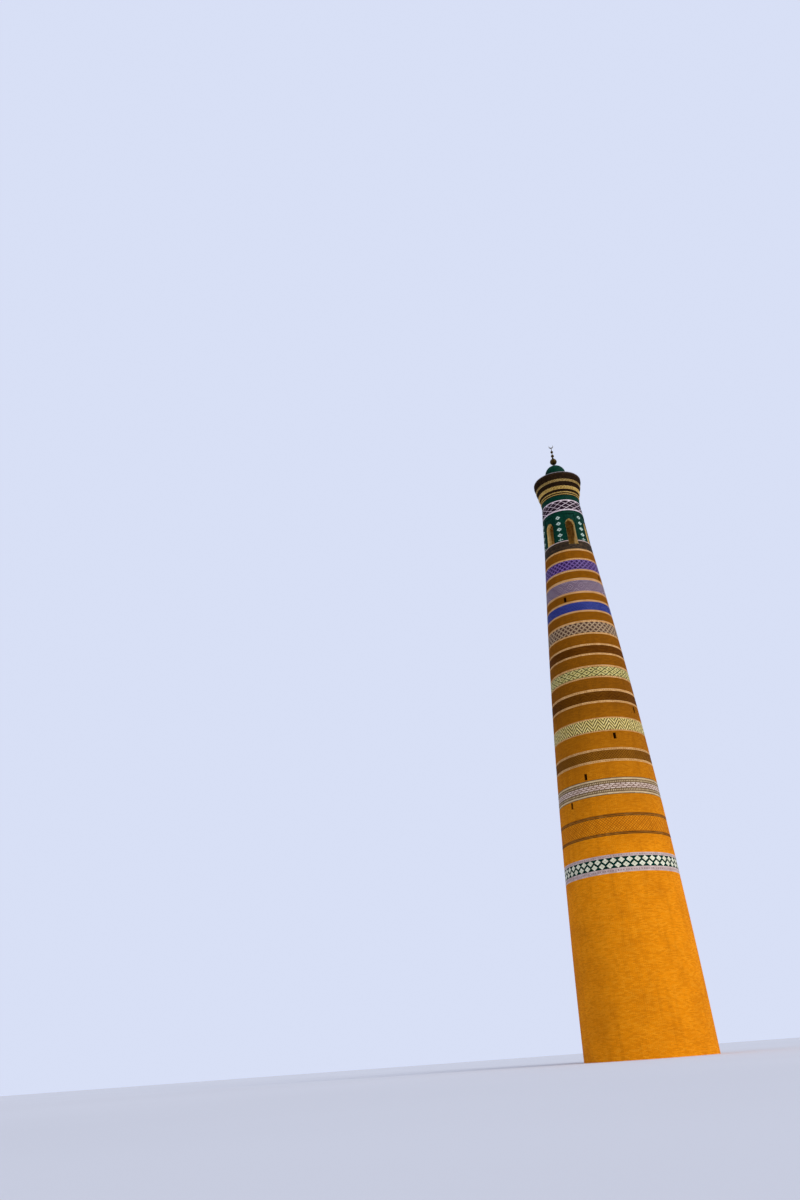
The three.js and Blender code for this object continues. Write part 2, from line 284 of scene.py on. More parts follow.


# Matt brick and joints, then satin and gloss tile, then metal. Each has its main, shade and pale
# colours, then how rough, stained, varied and glossy it is.
# Brick and mortar turn to their aloft colours higher up: painted shade, darker towards the top.
BRICK = surface("ochre_brick", (232, 138, 6), (168, 88, 2), (244, 166, 40), 0.92, 0.3, 0.3, 0.05,
                aloft=(131, 76, 5))
MORTAR = surface("mortar", (176, 104, 10), (120, 66, 4), (200, 130, 30), 0.95, 0.3, 0.3, 0.05,
                 aloft=(98, 58, 6))
GOLD_BRICK = surface("lantern_inner_brick", (212, 170, 84), (150, 110, 40), (234, 204, 128),
                     0.9, 0.35, 0.45, 0.05)
# The reveal brick is the gold brick painted paler: painted light on the jambs and under the arches.
LIT_REVEAL = surface("lantern_reveal_brick_painted_lit", (228, 194, 118), (178, 140, 66), (242, 220, 160),
                 0.85, 0.3, 0.4, 0.08)
ROOF_PAVING = surface("roof_paving", (150, 112, 60), (100, 72, 36), (176, 140, 88), 0.92, 0.4, 0.5, 0.05)
DARK_BRICK = surface("dark_brown_brick", (90, 47, 2), (62, 28, 0), (112, 64, 6), 0.8, 0.35, 0.4, 0.03)
BROWN = surface("brown_ground", (96, 52, 3), (66, 32, 1), (120, 70, 8), 0.8, 0.35, 0.4, 0.03)
FAWN = surface("fawn_brick", (99, 57, 4), (72, 38, 1), (120, 74, 12), 0.8, 0.35, 0.4, 0.03)
TAN = surface("tan_tile", (150, 94, 20), (112, 64, 8), (176, 120, 44), 0.8, 0.35, 0.4, 0.05)
OCHRE = surface("ochre_tile", (214, 128, 10), (166, 90, 2), (232, 156, 40), 0.85, 0.3, 0.3, 0.05)
RUST = surface("rust_line_tile", (158, 88, 8), (118, 60, 2), (182, 110, 22), 0.85, 0.3, 0.3, 0.05)
OLIVE = surface("olive_line_tile", (92, 64, 18), (58, 36, 8), (134, 102, 52), 0.8, 0.5, 0.6, 0.05)
MOTTLED = surface("mottled_brick", (42, 31, 17), (20, 15, 8), (90, 68, 46), 0.7, 0.6, 0.8, 0.08)
CORNICE = surface("cornice_brick", (38, 23, 10), (18, 11, 4), (68, 45, 19), 0.8, 0.5, 0.6, 0.05)
RIM_EDGE = surface("rim_edge_tile", (120, 112, 112), (80, 74, 76), (150, 142, 144), 0.5, 0.4, 0.5, 0.15)
NIGHT = surface("dark_pattern_ground", (60, 46, 8), (34, 26, 2), (84, 68, 20), 0.7, 0.35, 0.4, 0.05)
INK = surface("black_green_line_tile", (36, 34, 10), (20, 20, 4), (58, 56, 22), 0.7, 0.3, 0.4, 0.05)
LINE = surface("pale_line_tile", (204, 154, 92), (156, 106, 50), (226, 184, 130), 0.7, 0.35, 0.5, 0.08)
LINE_DOT = surface("pale_line_dot", (168, 116, 56), (122, 76, 26), (196, 148, 90), 0.7, 0.35, 0.5, 0.08)
CREAM = surface("cream_tile", (230, 204, 120), (182, 154, 72), (246, 228, 162), 0.5, 0.25, 0.4, 0.12)
WHEAT = surface("wheat_tile", (192, 176, 102), (146, 130, 62), (220, 206, 140), 0.5, 0.25, 0.4, 0.12)
WHITE = surface("white_tile", (216, 213, 182), (172, 168, 138), (238, 236, 212), 0.4, 0.2, 0.35, 0.2)
MARK = surface("pier_mark_tile", (176, 196, 180), (120, 142, 128), (212, 226, 212), 0.45, 0.35, 0.5, 0.15)
STRIP = surface("mauve_strip_tile", (190, 166, 156), (148, 122, 114), (212, 192, 184), 0.55, 0.35, 0.5, 0.12)
STRIP_DASH = surface("mauve_strip_dash", (160, 132, 126), (122, 94, 88), (184, 160, 154),
                     0.55, 0.35, 0.5, 0.12)
MAUVE = surface("mauve_tile", (114, 85, 62), (78, 52, 38), (140, 112, 88), 0.6, 0.35, 0.5, 0.08)
LACE = surface("lace_tile", (198, 170, 126), (158, 126, 86), (222, 198, 158), 0.5, 0.25, 0.4, 0.12)
PLUM = surface("plum_ground", (52, 25, 16), (32, 13, 8), (76, 44, 34), 0.65, 0.3, 0.4, 0.08)
PEARL = surface("pearl_tile", (204, 178, 158), (158, 130, 116), (226, 206, 190), 0.45, 0.25, 0.4, 0.12)
ASH = surface("ash_lilac_tile", (170, 145, 154), (128, 102, 116), (196, 176, 184), 0.45, 0.25, 0.4, 0.12)
UMBER = surface("umber_row_tile", (106, 82, 50), (70, 52, 28), (134, 110, 74), 0.65, 0.3, 0.4, 0.08)
PALE_PINK = surface("pale_pink_tile", (218, 196, 198), (168, 144, 150), (236, 222, 224), 0.45, 0.3, 0.4, 0.15)
GREEN = surface("dark_green_glaze", (3, 47, 34), (1, 24, 18), (12, 72, 53), 0.5, 0.4, 0.45, 0.02)
DEEP_GREEN = surface("deep_green_ground", (6, 42, 32), (3, 24, 18), (16, 64, 48), 0.5, 0.35, 0.4, 0.02)
BLUE = surface("blue_glaze", (10, 16, 76), (5, 8, 48), (26, 36, 108), 0.5, 0.35, 0.5, 0.03)
SKY = surface("light_blue_glaze", (74, 86, 164), (46, 56, 130), (108, 122, 194), 0.45, 0.3, 0.5, 0.06)
VIOLET = surface("violet_glaze", (64, 37, 92), (36, 18, 60), (88, 60, 120), 0.45, 0.35, 0.5, 0.05)
LILAC = surface("lilac_glaze", (144, 112, 172), (104, 74, 136), (172, 144, 198), 0.45, 0.25, 0.4, 0.12)
INDIGO = surface("indigo_ground", (38, 20, 52), (22, 10, 34), (58, 38, 74), 0.5, 0.3, 0.4, 0.04)
AUBERGINE = surface("aubergine_tile", (32, 14, 26), (18, 7, 15), (56, 32, 48), 0.5, 0.3, 0.5, 0.03)
GILT_TILE = surface("gilt_tile", (218, 176, 84), (158, 112, 36), (240, 212, 140), 0.5, 0.25, 0.5, 0.15)
OLD_GILT_TILE = surface("dull_gilt_tile", (176, 142, 74), (116, 86, 32), (214, 184, 120), 0.6, 0.4, 0.6, 0.12)
GILT = surface("dull_gilt", (50, 36, 13), (16, 11, 5), (132, 104, 46), 0.45, 0.8, 0.4, 0.5, metal=1.0)
SILVERED = surface("weathered_crescent", (110, 106, 96), (62, 58, 52), (160, 156, 144),
                   0.45, 0.5, 0.4, 0.5, metal=1.0)


# Meshes

def piece(name, points, faces, materials, material_of=None, tones=None, smooth=False):
    """A mesh object that rides on the tower; tones vary the finish from face to face."""
    mesh = bpy.data.meshes.new(name)
    mesh.from_pydata(points, [], faces)
    for material in materials:
        mesh.materials.append(material)
    count = len(mesh.polygons)
    if material_of is not None:
        mesh.polygons.foreach_set("material_index", np.asarray(material_of, np.int32))
    tone = mesh.attributes.new("tone", "FLOAT", "FACE")
    tone.data.foreach_set("value", np.full(count, 0.5, np.float32) if tones is None else tones)
    if smooth:
        mesh.shade_smooth()
        mesh.set_sharp_from_angle(angle=math.radians(30))
    mesh.update()
    body = bpy.data.objects.new(name, mesh)
    bpy.context.scene.collection.objects.link(body)
    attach(body, "root")
    return body


def weld(body):
    """Joins patches that meet, and turns every face outwards."""
    shape = bmesh.new()
    shape.from_mesh(body.data)
    bmesh.ops.remove_doubles(shape, verts=shape.verts, dist=1e-5)
    bmesh.ops.dissolve_degenerate(shape, edges=shape.edges, dist=1e-6)
    bmesh.ops.recalc_face_normals(shape, faces=shape.faces)
    shape.to_mesh(body.data)
    shape.free()
    body.data.set_sharp_from_angle(angle=math.radians(30))
    return body


class Patches:
    """Collects grids of points as quads for one welded piece."""

    def __init__(self):
        self.points = []
        self.faces = []
        self.material_of = []

    def add(self, grid, material=0):
        """grid is rows by columns of points."""
        grid = np.asarray(grid, float)
        rows, columns = grid.shape[:2]
        first = len(self.points)
        self.points.extend(grid.reshape(-1, 3).tolist())
        for r in range(rows - 1):
            for c in range(columns - 1):
                corner = first + r * columns + c
                self.faces.append((corner, corner + 1, corner + columns + 1, corner + columns))
                self.material_of.append(material)

    def strip(self, first_line, second_line, material=0):
        self.add([first_line, second_line], material)

    def face(self, corners, material=0):
        """One face with any number of corners."""
        self.faces.append(tuple(range(len(self.points), len(self.points) + len(corners))))
        self.points.extend(np.asarray(corners).tolist())
        self.material_of.append(material)

    def build(self, name, materials):
        body = piece(name, self.points, self.faces, materials, self.material_of, smooth=True)
        return weld(body)


PRISM_FACES = np.array([
    (0, 1, 2, 3), (0, 4, 5, 1), (1, 5, 6, 2), (2, 6, 7, 3), (3, 7, 4, 0), (7, 6, 5, 4),
])


def prisms(name, front, back, materials, kinds=None, tones=None):
    """Bricks and tiles: front and back hold four corners each, in the same order, for every one."""
    front, back = np.asarray(front), np.asarray(back)
    count = len(front)
    points = np.concatenate([front, back], axis=1).reshape(-1, 3)
    faces = (PRISM_FACES[None] + 8 * np.arange(count)[:, None, None]).reshape(-1, 4)
    kinds = np.zeros(count, int) if kinds is None else np.asarray(kinds)
    tones = rng.random(count) if tones is None else np.asarray(tones)
    sides = len(PRISM_FACES)
    return piece(name, points.tolist(), faces.tolist(), materials, np.repeat(kinds, sides),
                 np.repeat(tones, sides).astype(np.float32))


def plates(name, boxes, outer, materials, kinds=None, inset=FACE_INSET):
    """Plates on a face of revolution: boxes holds the left and right bearing, low and high edge of each."""
    left, right, low, high = np.asarray(boxes, float).T
    bearing = np.stack([left, right, right, left], axis=1)
    height = np.stack([low, low, high, high], axis=1)
    sunk = inset + RELIEF * rng.random(len(left))[:, None]
    front = ring_points(bearing, outer(height) - sunk, height)
    back = ring_points(bearing, outer(height) - sunk - TILE_DEPTH, height)
    return prisms(name, front, back, materials, kinds)


def slits_of(node):
    return [(bearing, foot) for course, bearing, foot in SLITS if course == node]


def wall_columns(slits):
    """Bearings outside and inside for each column of a wall, with two columns on each slit's edges."""
    columns = [(bearing, bearing) for bearing in range(0, 360, COLUMN_STEP)]
    for bearing, foot in slits:
        outside = opening_bearing(SLIT_WIDTH / 2, shaft_radius(foot))
        inside = opening_bearing(SLIT_INNER_WIDTH / 2, shaft_inner(foot))
        columns = [pair for pair in columns if abs((pair[0] - bearing + 180) % 360 - 180) > inside + 1]
        columns += [(bearing - outside, bearing - inside), (bearing + outside, bearing + inside)]
    return sorted(columns)


def shaft_wall(node, material):
    """The solid ring behind a course, with its slits cut through. The bricks and tiles stand on it."""
    bottom, top = heights_of(node)
    slits = slits_of(node)
    columns = wall_columns(slits)
    steps = max(1, round((top - bottom) / WALL_ROW))
    heights = set(np.linspace(bottom, top, steps + 1).tolist())
    for _, foot in slits:
        heights |= {foot, foot + SLIT_HEIGHT}
    heights = np.array(sorted(heights))
    outside, inside = np.array(columns).T
    outer = ring_points(outside[:, None], shaft_skin(heights), heights)
    inner = ring_points(inside[:, None], shaft_inner(heights), heights)
    patches = Patches()
    count = len(columns)
    for i in range(count):
        k = (i + 1) % count
        middle = (outside[i] + (outside[k] - outside[i]) % 360 / 2) % 360
        patches.strip([outer[i][0], outer[k][0]], [inner[i][0], inner[k][0]])
        patches.strip([outer[i][-1], outer[k][-1]], [inner[i][-1], inner[k][-1]])
        for j in range(len(heights) - 1):
            level = (heights[j] + heights[j + 1]) / 2
            if any(abs(middle - bearing % 360) < 0.5 and foot < level < foot + SLIT_HEIGHT
                   for bearing, foot in slits):
                for edge in (i, k):
                    patches.strip([outer[edge][j], outer[edge][j + 1]], [inner[edge][j], inner[edge][j + 1]])
                for level in (j, j + 1):
                    patches.strip([outer[i][level], outer[k][level]], [inner[i][level], inner[k][level]])
                continue
            patches.strip(outer[i][j:j + 2], outer[k][j:j + 2])
            patches.strip(inner[i][j:j + 2], inner[k][j:j + 2])
    body = patches.build(f"{node}_wall", [material])
    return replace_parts(body, node)


def brick_row(start, span, length, offset, joint_angle):
    """Left and right bearings of the bricks in one row, which breaks joint with its neighbours."""
    count = max(1, round(span / length))
    edges = start + span / count * (np.arange(count + 1) + (0.5 if offset else 0))
    if offset and span < 360:
        edges = np.concatenate([[start], edges[:-1], [start + span]])
    jitter = rng.uniform(-0.02, 0.02, len(edges)) * length
    if span < 360:
        jitter[[0, -1]] = 0
    else:
        jitter[-1] = jitter[0]
    edges = edges + jitter
    return np.stack([edges[:-1] + joint_angle / 2, edges[1:] - joint_angle / 2], axis=1)


def brick_course(name, bottom, top, material, slot, slits=()):
    """Rows of brick between two heights; they stop at a slit, with cut bricks over and under it."""
    rows = max(1, round((top - bottom) / BRICK_PITCH))
    edges = np.linspace(bottom, top, rows + 1)
    boxes = []
    for row in range(rows):
        low, high = edges[row] + JOINT / 2, edges[row + 1] - JOINT / 2
        radius = shaft_radius((low + high) / 2)
        joint_angle = math.degrees(JOINT / radius)
        start, span = 0.0, 360.0
        for bearing, foot in slits:
            head = foot + SLIT_HEIGHT
            if high > foot and low < head:
                half = opening_bearing((SLIT_WIDTH + JOINT) / 2, radius)
                start, span = bearing + half - joint_angle, 360 - 2 * half + 2 * joint_angle
                reach = half - 1.5 * joint_angle
                boxes += [(bearing - reach, bearing + reach, *part) for part in ((low, foot), (head, high))
                          if part[1] - part[0] > JOINT]
        sides = brick_row(start, span, math.degrees(BRICK_LENGTH / radius), row % 2 == 1, joint_angle)
        boxes += [(left, right, low, high) for left, right in sides]
    return plates(name, boxes, shaft_radius, [material])


def mosaic(name, bottom, top, rows, columns, pattern, materials, slot,
           outer=shaft_radius, longest=4, start=0.0, span=360.0, joint=TILE_JOINT, inset=FACE_INSET,
           on_end=False):
    """Small glazed bricks on a grid of cells.

    pattern gives each cell's kind from its column and row: 0 is bare, 1 is the first material. Cells of
    one kind that lie side by side, or over one another where bricks stand on end, become one brick, up
    to the longest.
    """
    pitch = span / columns
    edges = np.linspace(bottom, top, rows + 1)
    kinds = pattern(np.arange(columns)[None, :], np.arange(rows)[:, None])
    kinds = np.broadcast_to(kinds, (rows, columns))
    boxes, chosen = [], []
    for number, line in enumerate(kinds.T if on_end else kinds):
        first = 0
        for cell in range(1, len(line) + 1):
            if cell < len(line) and line[cell] == line[first] and cell - first < longest:
                continue
            if line[first] > 0:
                along, across = (first, cell), (number, number + 1)
                (left, right), (low, high) = (across, along) if on_end else (along, across)
                gap = math.degrees(joint / outer((edges[low] + edges[high]) / 2)) / 2
                boxes.append((start + left * pitch + gap, start + right * pitch - gap,
                              edges[low] + joint / 2, edges[high] - joint / 2))
                chosen.append(line[first] - 1)
            first = cell
    return plates(name, boxes, outer, materials, chosen, inset)


def rhombs(name, middles, half_width, half_height, materials, outer=shaft_radius, parts=2,
           keep=None, limits=(0, 99), joint=0.03, inset=FACE_INSET):
    """Diamonds of cut tile, each of parts by parts small ones, with halves of these along the limits.

    keep says which of the small ones are laid; joint is a share of a small one's side.
    """
    across = np.array((half_width, -half_height)) / parts
    upward = np.array((half_width, half_height)) / parts
    corners = []
    for middle in middles:
        left = np.array(middle) - (half_width, 0)
        for i in range(parts):
            for j in range(parts):
                if keep and not keep(i, j):
                    continue
                near_i, far_i, near_j, far_j = i + joint, i + 1 - joint, j + joint, j + 1 - joint
                quad = np.array([left + across * u + upward * v for u, v in
                                 ((near_i, near_j), (far_i, near_j), (far_i, far_j), (near_i, far_j))])
                level = quad[0, 1]
                slack = (quad[3, 1] - level) / 3
                if not limits[0] - slack < level < limits[1] + slack:
                    continue
                if quad[1, 1] < limits[0]:
                    quad[1] = (quad[0] + quad[2]) / 2
                if quad[3, 1] > limits[1]:
                    quad[3] = (quad[0] + quad[2]) / 2
                corners.append(quad)
    bearing, height = np.moveaxis(np.array(corners), -1, 0)
    sunk = inset + FINE_RELIEF * rng.random(len(corners))[:, None]
    front = ring_points(bearing, outer(height) - sunk, height)
    back = ring_points(bearing, outer(height) - sunk - TILE_DEPTH, height)
    return prisms(name, front, back, materials)


def net_middles(around, start, bottom, rise, rows):
    """Middles of the diamonds of a net, each row shifted half a pitch from the one below."""
    pitch = 360 / around
    return [(start + pitch * (n + row % 2 / 2), bottom + rise * row)
            for row in range(rows) for n in range(around)]


# Patterns on the cells of a mosaic

def from_middle(column, row, period, across, up):
    """Steps from the middle of the nearest diamond of a net; half the period is on the net's lines."""
    def fold(value):
        return np.abs((value + period // 2) % period - period // 2)
    return np.maximum(fold(column - across + row - up), fold(column - across - row + up))


def above_zigzag(column, row, half, pitch, across, up, slope=1):
    """Rows above the nearest of a stack of zigzag lines, which turn every half columns."""
    climb = slope * np.abs((column - across + half) % (2 * half) - half)
    return (row - climb - up) % pitch


def all_one(column, row):
    return np.ones(np.broadcast(column, row).shape, int)


def pale_line(name, bottom, top, slot, main=LINE, accent=LINE_DOT):
    """A line of light tile: a beaded row between two plain ones."""
    columns = 6 * round(2 * math.pi * shaft_radius((bottom + top) / 2) / 0.048 / 6)
    return mosaic(name, bottom, top, 3, columns,
                  lambda column, row: np.where((row == 1) & (column % 2 == 0), 2, 1), [main, accent], slot,
                  longest=3)


def edged(node, field, ground, slot, *line_tiles):
    """A band's wall and the lines along its edges, pale ones unless their tiles are given."""
    bottom, top = heights_of(node)
    shaft_wall(node, ground)
    pale_line(f"{node}_lower_line", bottom, field[0], slot, *line_tiles)
    pale_line(f"{node}_upper_line", field[1], top, slot, *line_tiles)


def band(node, field, rows, columns, pattern, materials, slot, ground, start=0.0, on_end=False):
    """A glazed band with its patterned field between the pale lines."""
    edged(node, field, ground, slot)
    mosaic(f"{node}_tiles", *field, rows, columns, pattern, materials, slot, start=start, on_end=on_end)


# Shaft

def plain_zones():
    """The footing, the base drum and the twelve plain brick zones between the bands."""
    low, high = heights_of("footing")
    section = [(0.0, low), (shaft_skin(low), low), (shaft_skin(high), high), (0.0, high)]
    ring_core("footing_core", "footing", section, MORTAR)
    brick_course("footing_bricks", low, high, BRICK, "brick")
    for node in ["base_drum"] + [f"brick_zone_{n:02d}" for n in range(1, 13)]:
        bottom, top = heights_of(node)
        shaft_wall(node, MORTAR)
        parts = [("", bottom, top)]
        if node == "base_drum":
            middle = bottom + round((top - bottom) / 2 / BRICK_PITCH) * BRICK_PITCH
            parts = [("_lower", bottom, middle), ("_upper", middle, top)]
        for part, low, high in parts:
            brick_course(f"{node}_bricks{part}", low, high, BRICK, "brick", slits_of(node))


def green_diamond_band():
    """Two rows of white diamonds on dark green, between mauve strips."""
    node, slot, field = "green_diamond_band", "green_tile", (6.300, 6.685)
    edged(node, field, DEEP_GREEN, slot, STRIP, STRIP_DASH)
    mosaic(f"{node}_ground", *field, 8, 240, all_one, [DEEP_GREEN], slot, longest=3, inset=GROUND_INSET)
    rhombs(f"{node}_diamonds", net_middles(45, -1.5, 6.405, 0.177, 2), 3.40, 0.107, [WHITE])


def lattice_band():
    """Ochre diamonds in fours, with rust lines between them and dark lines along the edges."""
    node, slot = "lattice_band", "lattice_brick"
    bottom, top = heights_of(node)
    low, high = 7.607, 8.173
    shaft_wall(node, RUST)
    for name, start, stop in (("lower", bottom, low), ("upper", high, top)):
        mosaic(f"{node}_{name}_line", start, stop, 4, 320,
               lambda column, row: np.where((row == 0) | (row == 2), 1, 2), [OLIVE, RUST], slot)
    rise = (high - low) / 5.5
    rhombs(f"{node}_tiles", net_middles(58, 0.0, low, rise, 7), 2.95, rise * 0.95, [OCHRE],
           joint=0.11, limits=(low, high), inset=FIELD_INSET)


def woven_band():
    """Courses of long pearl tiles that break joint, between dashed rows and cream lines."""
    node, slot = "woven_band", "woven_tile"
    bottom, top = heights_of(node)
    rows = [(9.052, "dark"), (9.083, "cream"), (9.115, "cream"), (9.156, "dark"), (9.210, "dashes"),
            (9.252, "dark"), (9.299, "course"), (9.331, "gap"), (9.375, "course"), (9.402, "gap"),
            (9.449, "course"), (9.488, "dark"), (9.540, "dashes"), (9.581, "dark"), (9.613, "cream"),
            (9.645, "cream"), (top, "dark")]
    shaft_wall(node, UMBER)
    low = bottom
    for number, (high, kind) in enumerate(rows):
        shift = 3 * (number % 4 // 2)

        def pattern(column, row):
            tie = (column + shift) % 6 == 0
            return {"dark": 4 + 0 * column, "cream": 3 + 0 * column, "dashes": 3 + column % 2,
                    "course": np.where(tie, 2, 1), "gap": np.where(tie, 1, 2)}[kind]
        mosaic(f"{node}_row_{number + 1:02d}", low, high, 1, 360, pattern, [PEARL, MAUVE, LACE, UMBER], slot,
               longest=6)
        low = high


def tile_bands():
    """The patterned bands, from the foot up; the plain dark one and the top course are made apart."""
    green_diamond_band()
    lattice_band()
    woven_band()
    field = (10.410, 10.784)
    rise = (field[1] - field[0]) / 7
    edged("brown_band_lower", field, TAN, "brown_tile")
    rhombs("brown_band_lower_tiles", net_middles(110, 0.0, field[0], rise, 8), 1.36, rise * 0.83, [FAWN],
           parts=1, limits=field, inset=GROUND_INSET)
    band("chevron_band", (11.610, 12.090), 18, 312,
         lambda column, row: np.where(above_zigzag(column, row, 6, 6, 8, 3, 2) < 3, 1, 2),
         [CREAM, NIGHT], "cream_tile", NIGHT, -1.1, True)
    band("brown_band_upper", (12.862, 13.267), 15, 324,
         lambda column, row: np.where(above_zigzag(column, row, 6, 5, 7, 1) < 2, 1, 2),
         [FAWN, DARK_BRICK], "brown_tile", BROWN)
    field = (13.940, 14.352)
    edged("cream_diamond_band", field, INK, "cream_tile")
    for name, material, keep in (("tiles", WHEAT, ring_only), ("eyes", OLIVE, middle_only)):
        rhombs(f"cream_diamond_band_{name}", net_middles(27, -2.0, 13.870, 0.125, 5), 5.75, 0.108, [material],
               parts=3, keep=keep, limits=field)

    def netted(across, up):
        def pattern(column, row):
            step = from_middle(column, row, 8, across, up)
            return np.select([step == 4, step > 1], [1, 2], 3)
        return pattern
    band("mauve_lattice_band", (15.946, 16.447), 18, 320, netted(1, 8), [LACE, MAUVE, PLUM],
         "mauve_tile", PLUM)
    band("blue_band", (17.024, 17.436), 15, 228,
         lambda column, row: np.where(above_zigzag(column, row, 6, 6, 0, 1, 2) < 2, 1, 2),
         [SKY, BLUE], "blue_tile", BLUE, -0.8, True)
    band("fret_band", (17.964, 18.514), 17, 272,
         lambda column, row: np.where(from_middle(column, row, 16, 11, 8) % 4 < 2, 1, 2),
         [ASH, INDIGO], "white_tile", INDIGO, -0.9)
    band("violet_band", (19.069, 19.573), 19, 264, netted(3, 7), [LILAC, VIOLET, INDIGO],
         "violet_tile", INDIGO, -0.95)


def middle_only(i, j):
    """The middle one of nine."""
    return (i, j) == (1, 1)


def ring_only(i, j):
    return not middle_only(i, j)


def dark_band():
    """The plain dark brown band."""
    field = (14.984, 15.342)
    edged("dark_band", field, BROWN, "dark_tile")
    brick_course("dark_band_bricks", *field, DARK_BRICK, "dark_tile")


def ledge_wall():
    """The top course, cut low at the first bay and thinner above the ledge that holds the floor."""
    node, slot = "mottled_band", "dark_tile"
    bottom, top = heights_of(node)
    ledge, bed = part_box("lantern_floor")[0].z, FLOOR_LEVEL - PAVING_BED
    half_out = opening_bearing(OPENING_HALF_WIDTH, SHAFT_TOP_RADIUS)
    half_in = opening_bearing(OPENING_HALF_WIDTH, FLOOR_RADIUS)
    clear_of_cut = 14.5
    pairs = [(b, b) for b in range(0, 360, COLUMN_STEP) if abs(b - FIRST_BAY) > clear_of_cut]
    pairs += [(FIRST_BAY + side * half_out, FIRST_BAY + side * half_in) for side in (-1, 1)]
    outside, inside = np.array(sorted(pairs)).T
    patches = Patches()

    def line(i, section):
        return [ring_points(bearings[i], radius, height) for bearings, radius, height in section]
    for i in range(len(outside)):
        k = (i + 1) % len(outside)
        cut = abs((outside[i] + outside[k]) / 2 - FIRST_BAY) < 1 and i < k
        crown = bed if cut else top
        section = [(outside, shaft_skin(height), height) for height in (bottom, bed, crown)]
        section += [(inside, FLOOR_RADIUS, height) for height in (crown, bed, ledge)]
        section += [(inside, shaft_inner(bottom), height) for height in (ledge, bottom)] + section[:1]
        for first, stop, material in ((0, 3, 0), (2, 5, 1), (4, 9, 0)):
            patches.strip(line(i, section[first:stop]), line(k, section[first:stop]), material)
        if cut:
            for edge in (i, k):
                cheek = [[(outside, shaft_skin(height), height) for height in (bed, top)],
                         [(inside, FLOOR_RADIUS, height) for height in (bed, top)]]
                patches.add([line(edge, side) for side in cheek], 1)
    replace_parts(patches.build("mottled_band_wall", [BROWN, GOLD_BRICK]), node)
    line_top = 20.143
    pale_line(f"{node}_lower_line", bottom, line_top, slot)
    mosaic(f"{node}_bricks", line_top, FLOOR_LEVEL, 8, 240, all_one, [MOTTLED], slot)
    mosaic(f"{node}_top_bricks", FLOOR_LEVEL, top, 4, 226, all_one, [MOTTLED], slot,
           start=FIRST_BAY + half_out, span=360 - 2 * half_out)


# Lantern

def bay_bearings():
    return [FIRST_BAY + bay * BAY_PITCH for bay in range(BAYS)]


def opening_half_width(height):
    """Half the width of an opening, which its pointed arch narrows over the springing."""
    rise = min(max(height - SPRING, 0), ARCH_RADIUS)
    return max(math.sqrt(ARCH_RADIUS ** 2 - rise ** 2) - ARCH_SHIFT, 0)


def arch_point(angle, radius=ARCH_RADIUS):
    """Place across and height of a point on half the arch, or on one round it."""
    return radius * math.cos(angle) - ARCH_SHIFT, SPRING + radius * math.sin(angle)


def arch_height(across):
    """Height of the pointed arch over a place across the opening."""
    return SPRING + np.sqrt(np.maximum(ARCH_RADIUS ** 2 - (np.abs(across) + ARCH_SHIFT) ** 2, 0))


def opening_bearing(across, radius):
    return np.degrees(np.arcsin(across / radius))


def recess_face(height):
    return lantern_radius(height) - RECESS_DEPTH


def lantern_sill():
    """The thin course at the lantern's foot, broken at the first bay."""
    bottom, top = heights_of("lantern_sill")
    half_out = opening_bearing(OPENING_HALF_WIDTH, SHAFT_TOP_RADIUS)
    half_in = opening_bearing(OPENING_HALF_WIDTH, LANTERN_INNER)
    outside, inside = (np.linspace(FIRST_BAY + half, FIRST_BAY + 360 - half, 121)
                       for half in (half_out, half_in))
    low, high = (ring_points(outside, lantern_skin(height), height) for height in (bottom, top))
    low_in, high_in = (ring_points(inside, LANTERN_INNER, height) for height in (bottom, top))
    patches = Patches()
    for first, second in ((low, high), (high, high_in), (high_in, low_in), (low_in, low)):
        patches.strip(first, second)
    for end in (0, -1):
        patches.strip([low[end], high[end]], [low_in[end], high_in[end]])
    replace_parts(patches.build("lantern_sill_course", [GOLD_BRICK]), "lantern_sill")
    mosaic("lantern_sill_tiles", bottom, top, 2, 226, lambda column, row: 2 - row, [STRIP, MOTTLED],
           "white_tile", lantern_radius, 3, FIRST_BAY + half_out, 360 - 2 * half_out)


def lantern_floor():
    """The floor's slab and paving, and the bricks of the low sill beside it."""
    low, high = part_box("lantern_floor")
    bed = high.z - PAVING_BED
    section = [(0.0, low.z), (high.x, low.z), (high.x, bed), (0.0, bed)]
    ring_core("lantern_floor_slab", "lantern_floor", section, MORTAR, step=2 * COLUMN_STEP)
    paving("lantern_floor_paving", 0.0, high.x, high.z, GOLD_BRICK)
    threshold()


def paving(name, inner, outer, level, material):
    """Rings of brick laid flat."""
    rings = round((outer - inner) / PAVING_WIDTH)
    edges = np.linspace(inner, outer, rings + 1)
    front, back = [], []
    for ring in range(rings):
        near, far = edges[ring] + JOINT / 2, edges[ring + 1] - JOINT / 2
        count = max(12, round(2 * math.pi * (near + far) / 2 / BRICK_LENGTH))
        gap = math.degrees(JOINT / 2 / max(far, 0.05))
        for n in range(count):
            left = 360 / count * (n + ring % 2 / 2) + gap
            right = 360 / count * (n + 1 + ring % 2 / 2) - gap
            top = level - FINE_RELIEF * rng.random()
            for target, height in ((front, top), (back, top - TILE_DEPTH)):
                target.append(ring_points([left, right, right, left], [far, far, near, near], height))
    return prisms(name, front, back, [material])


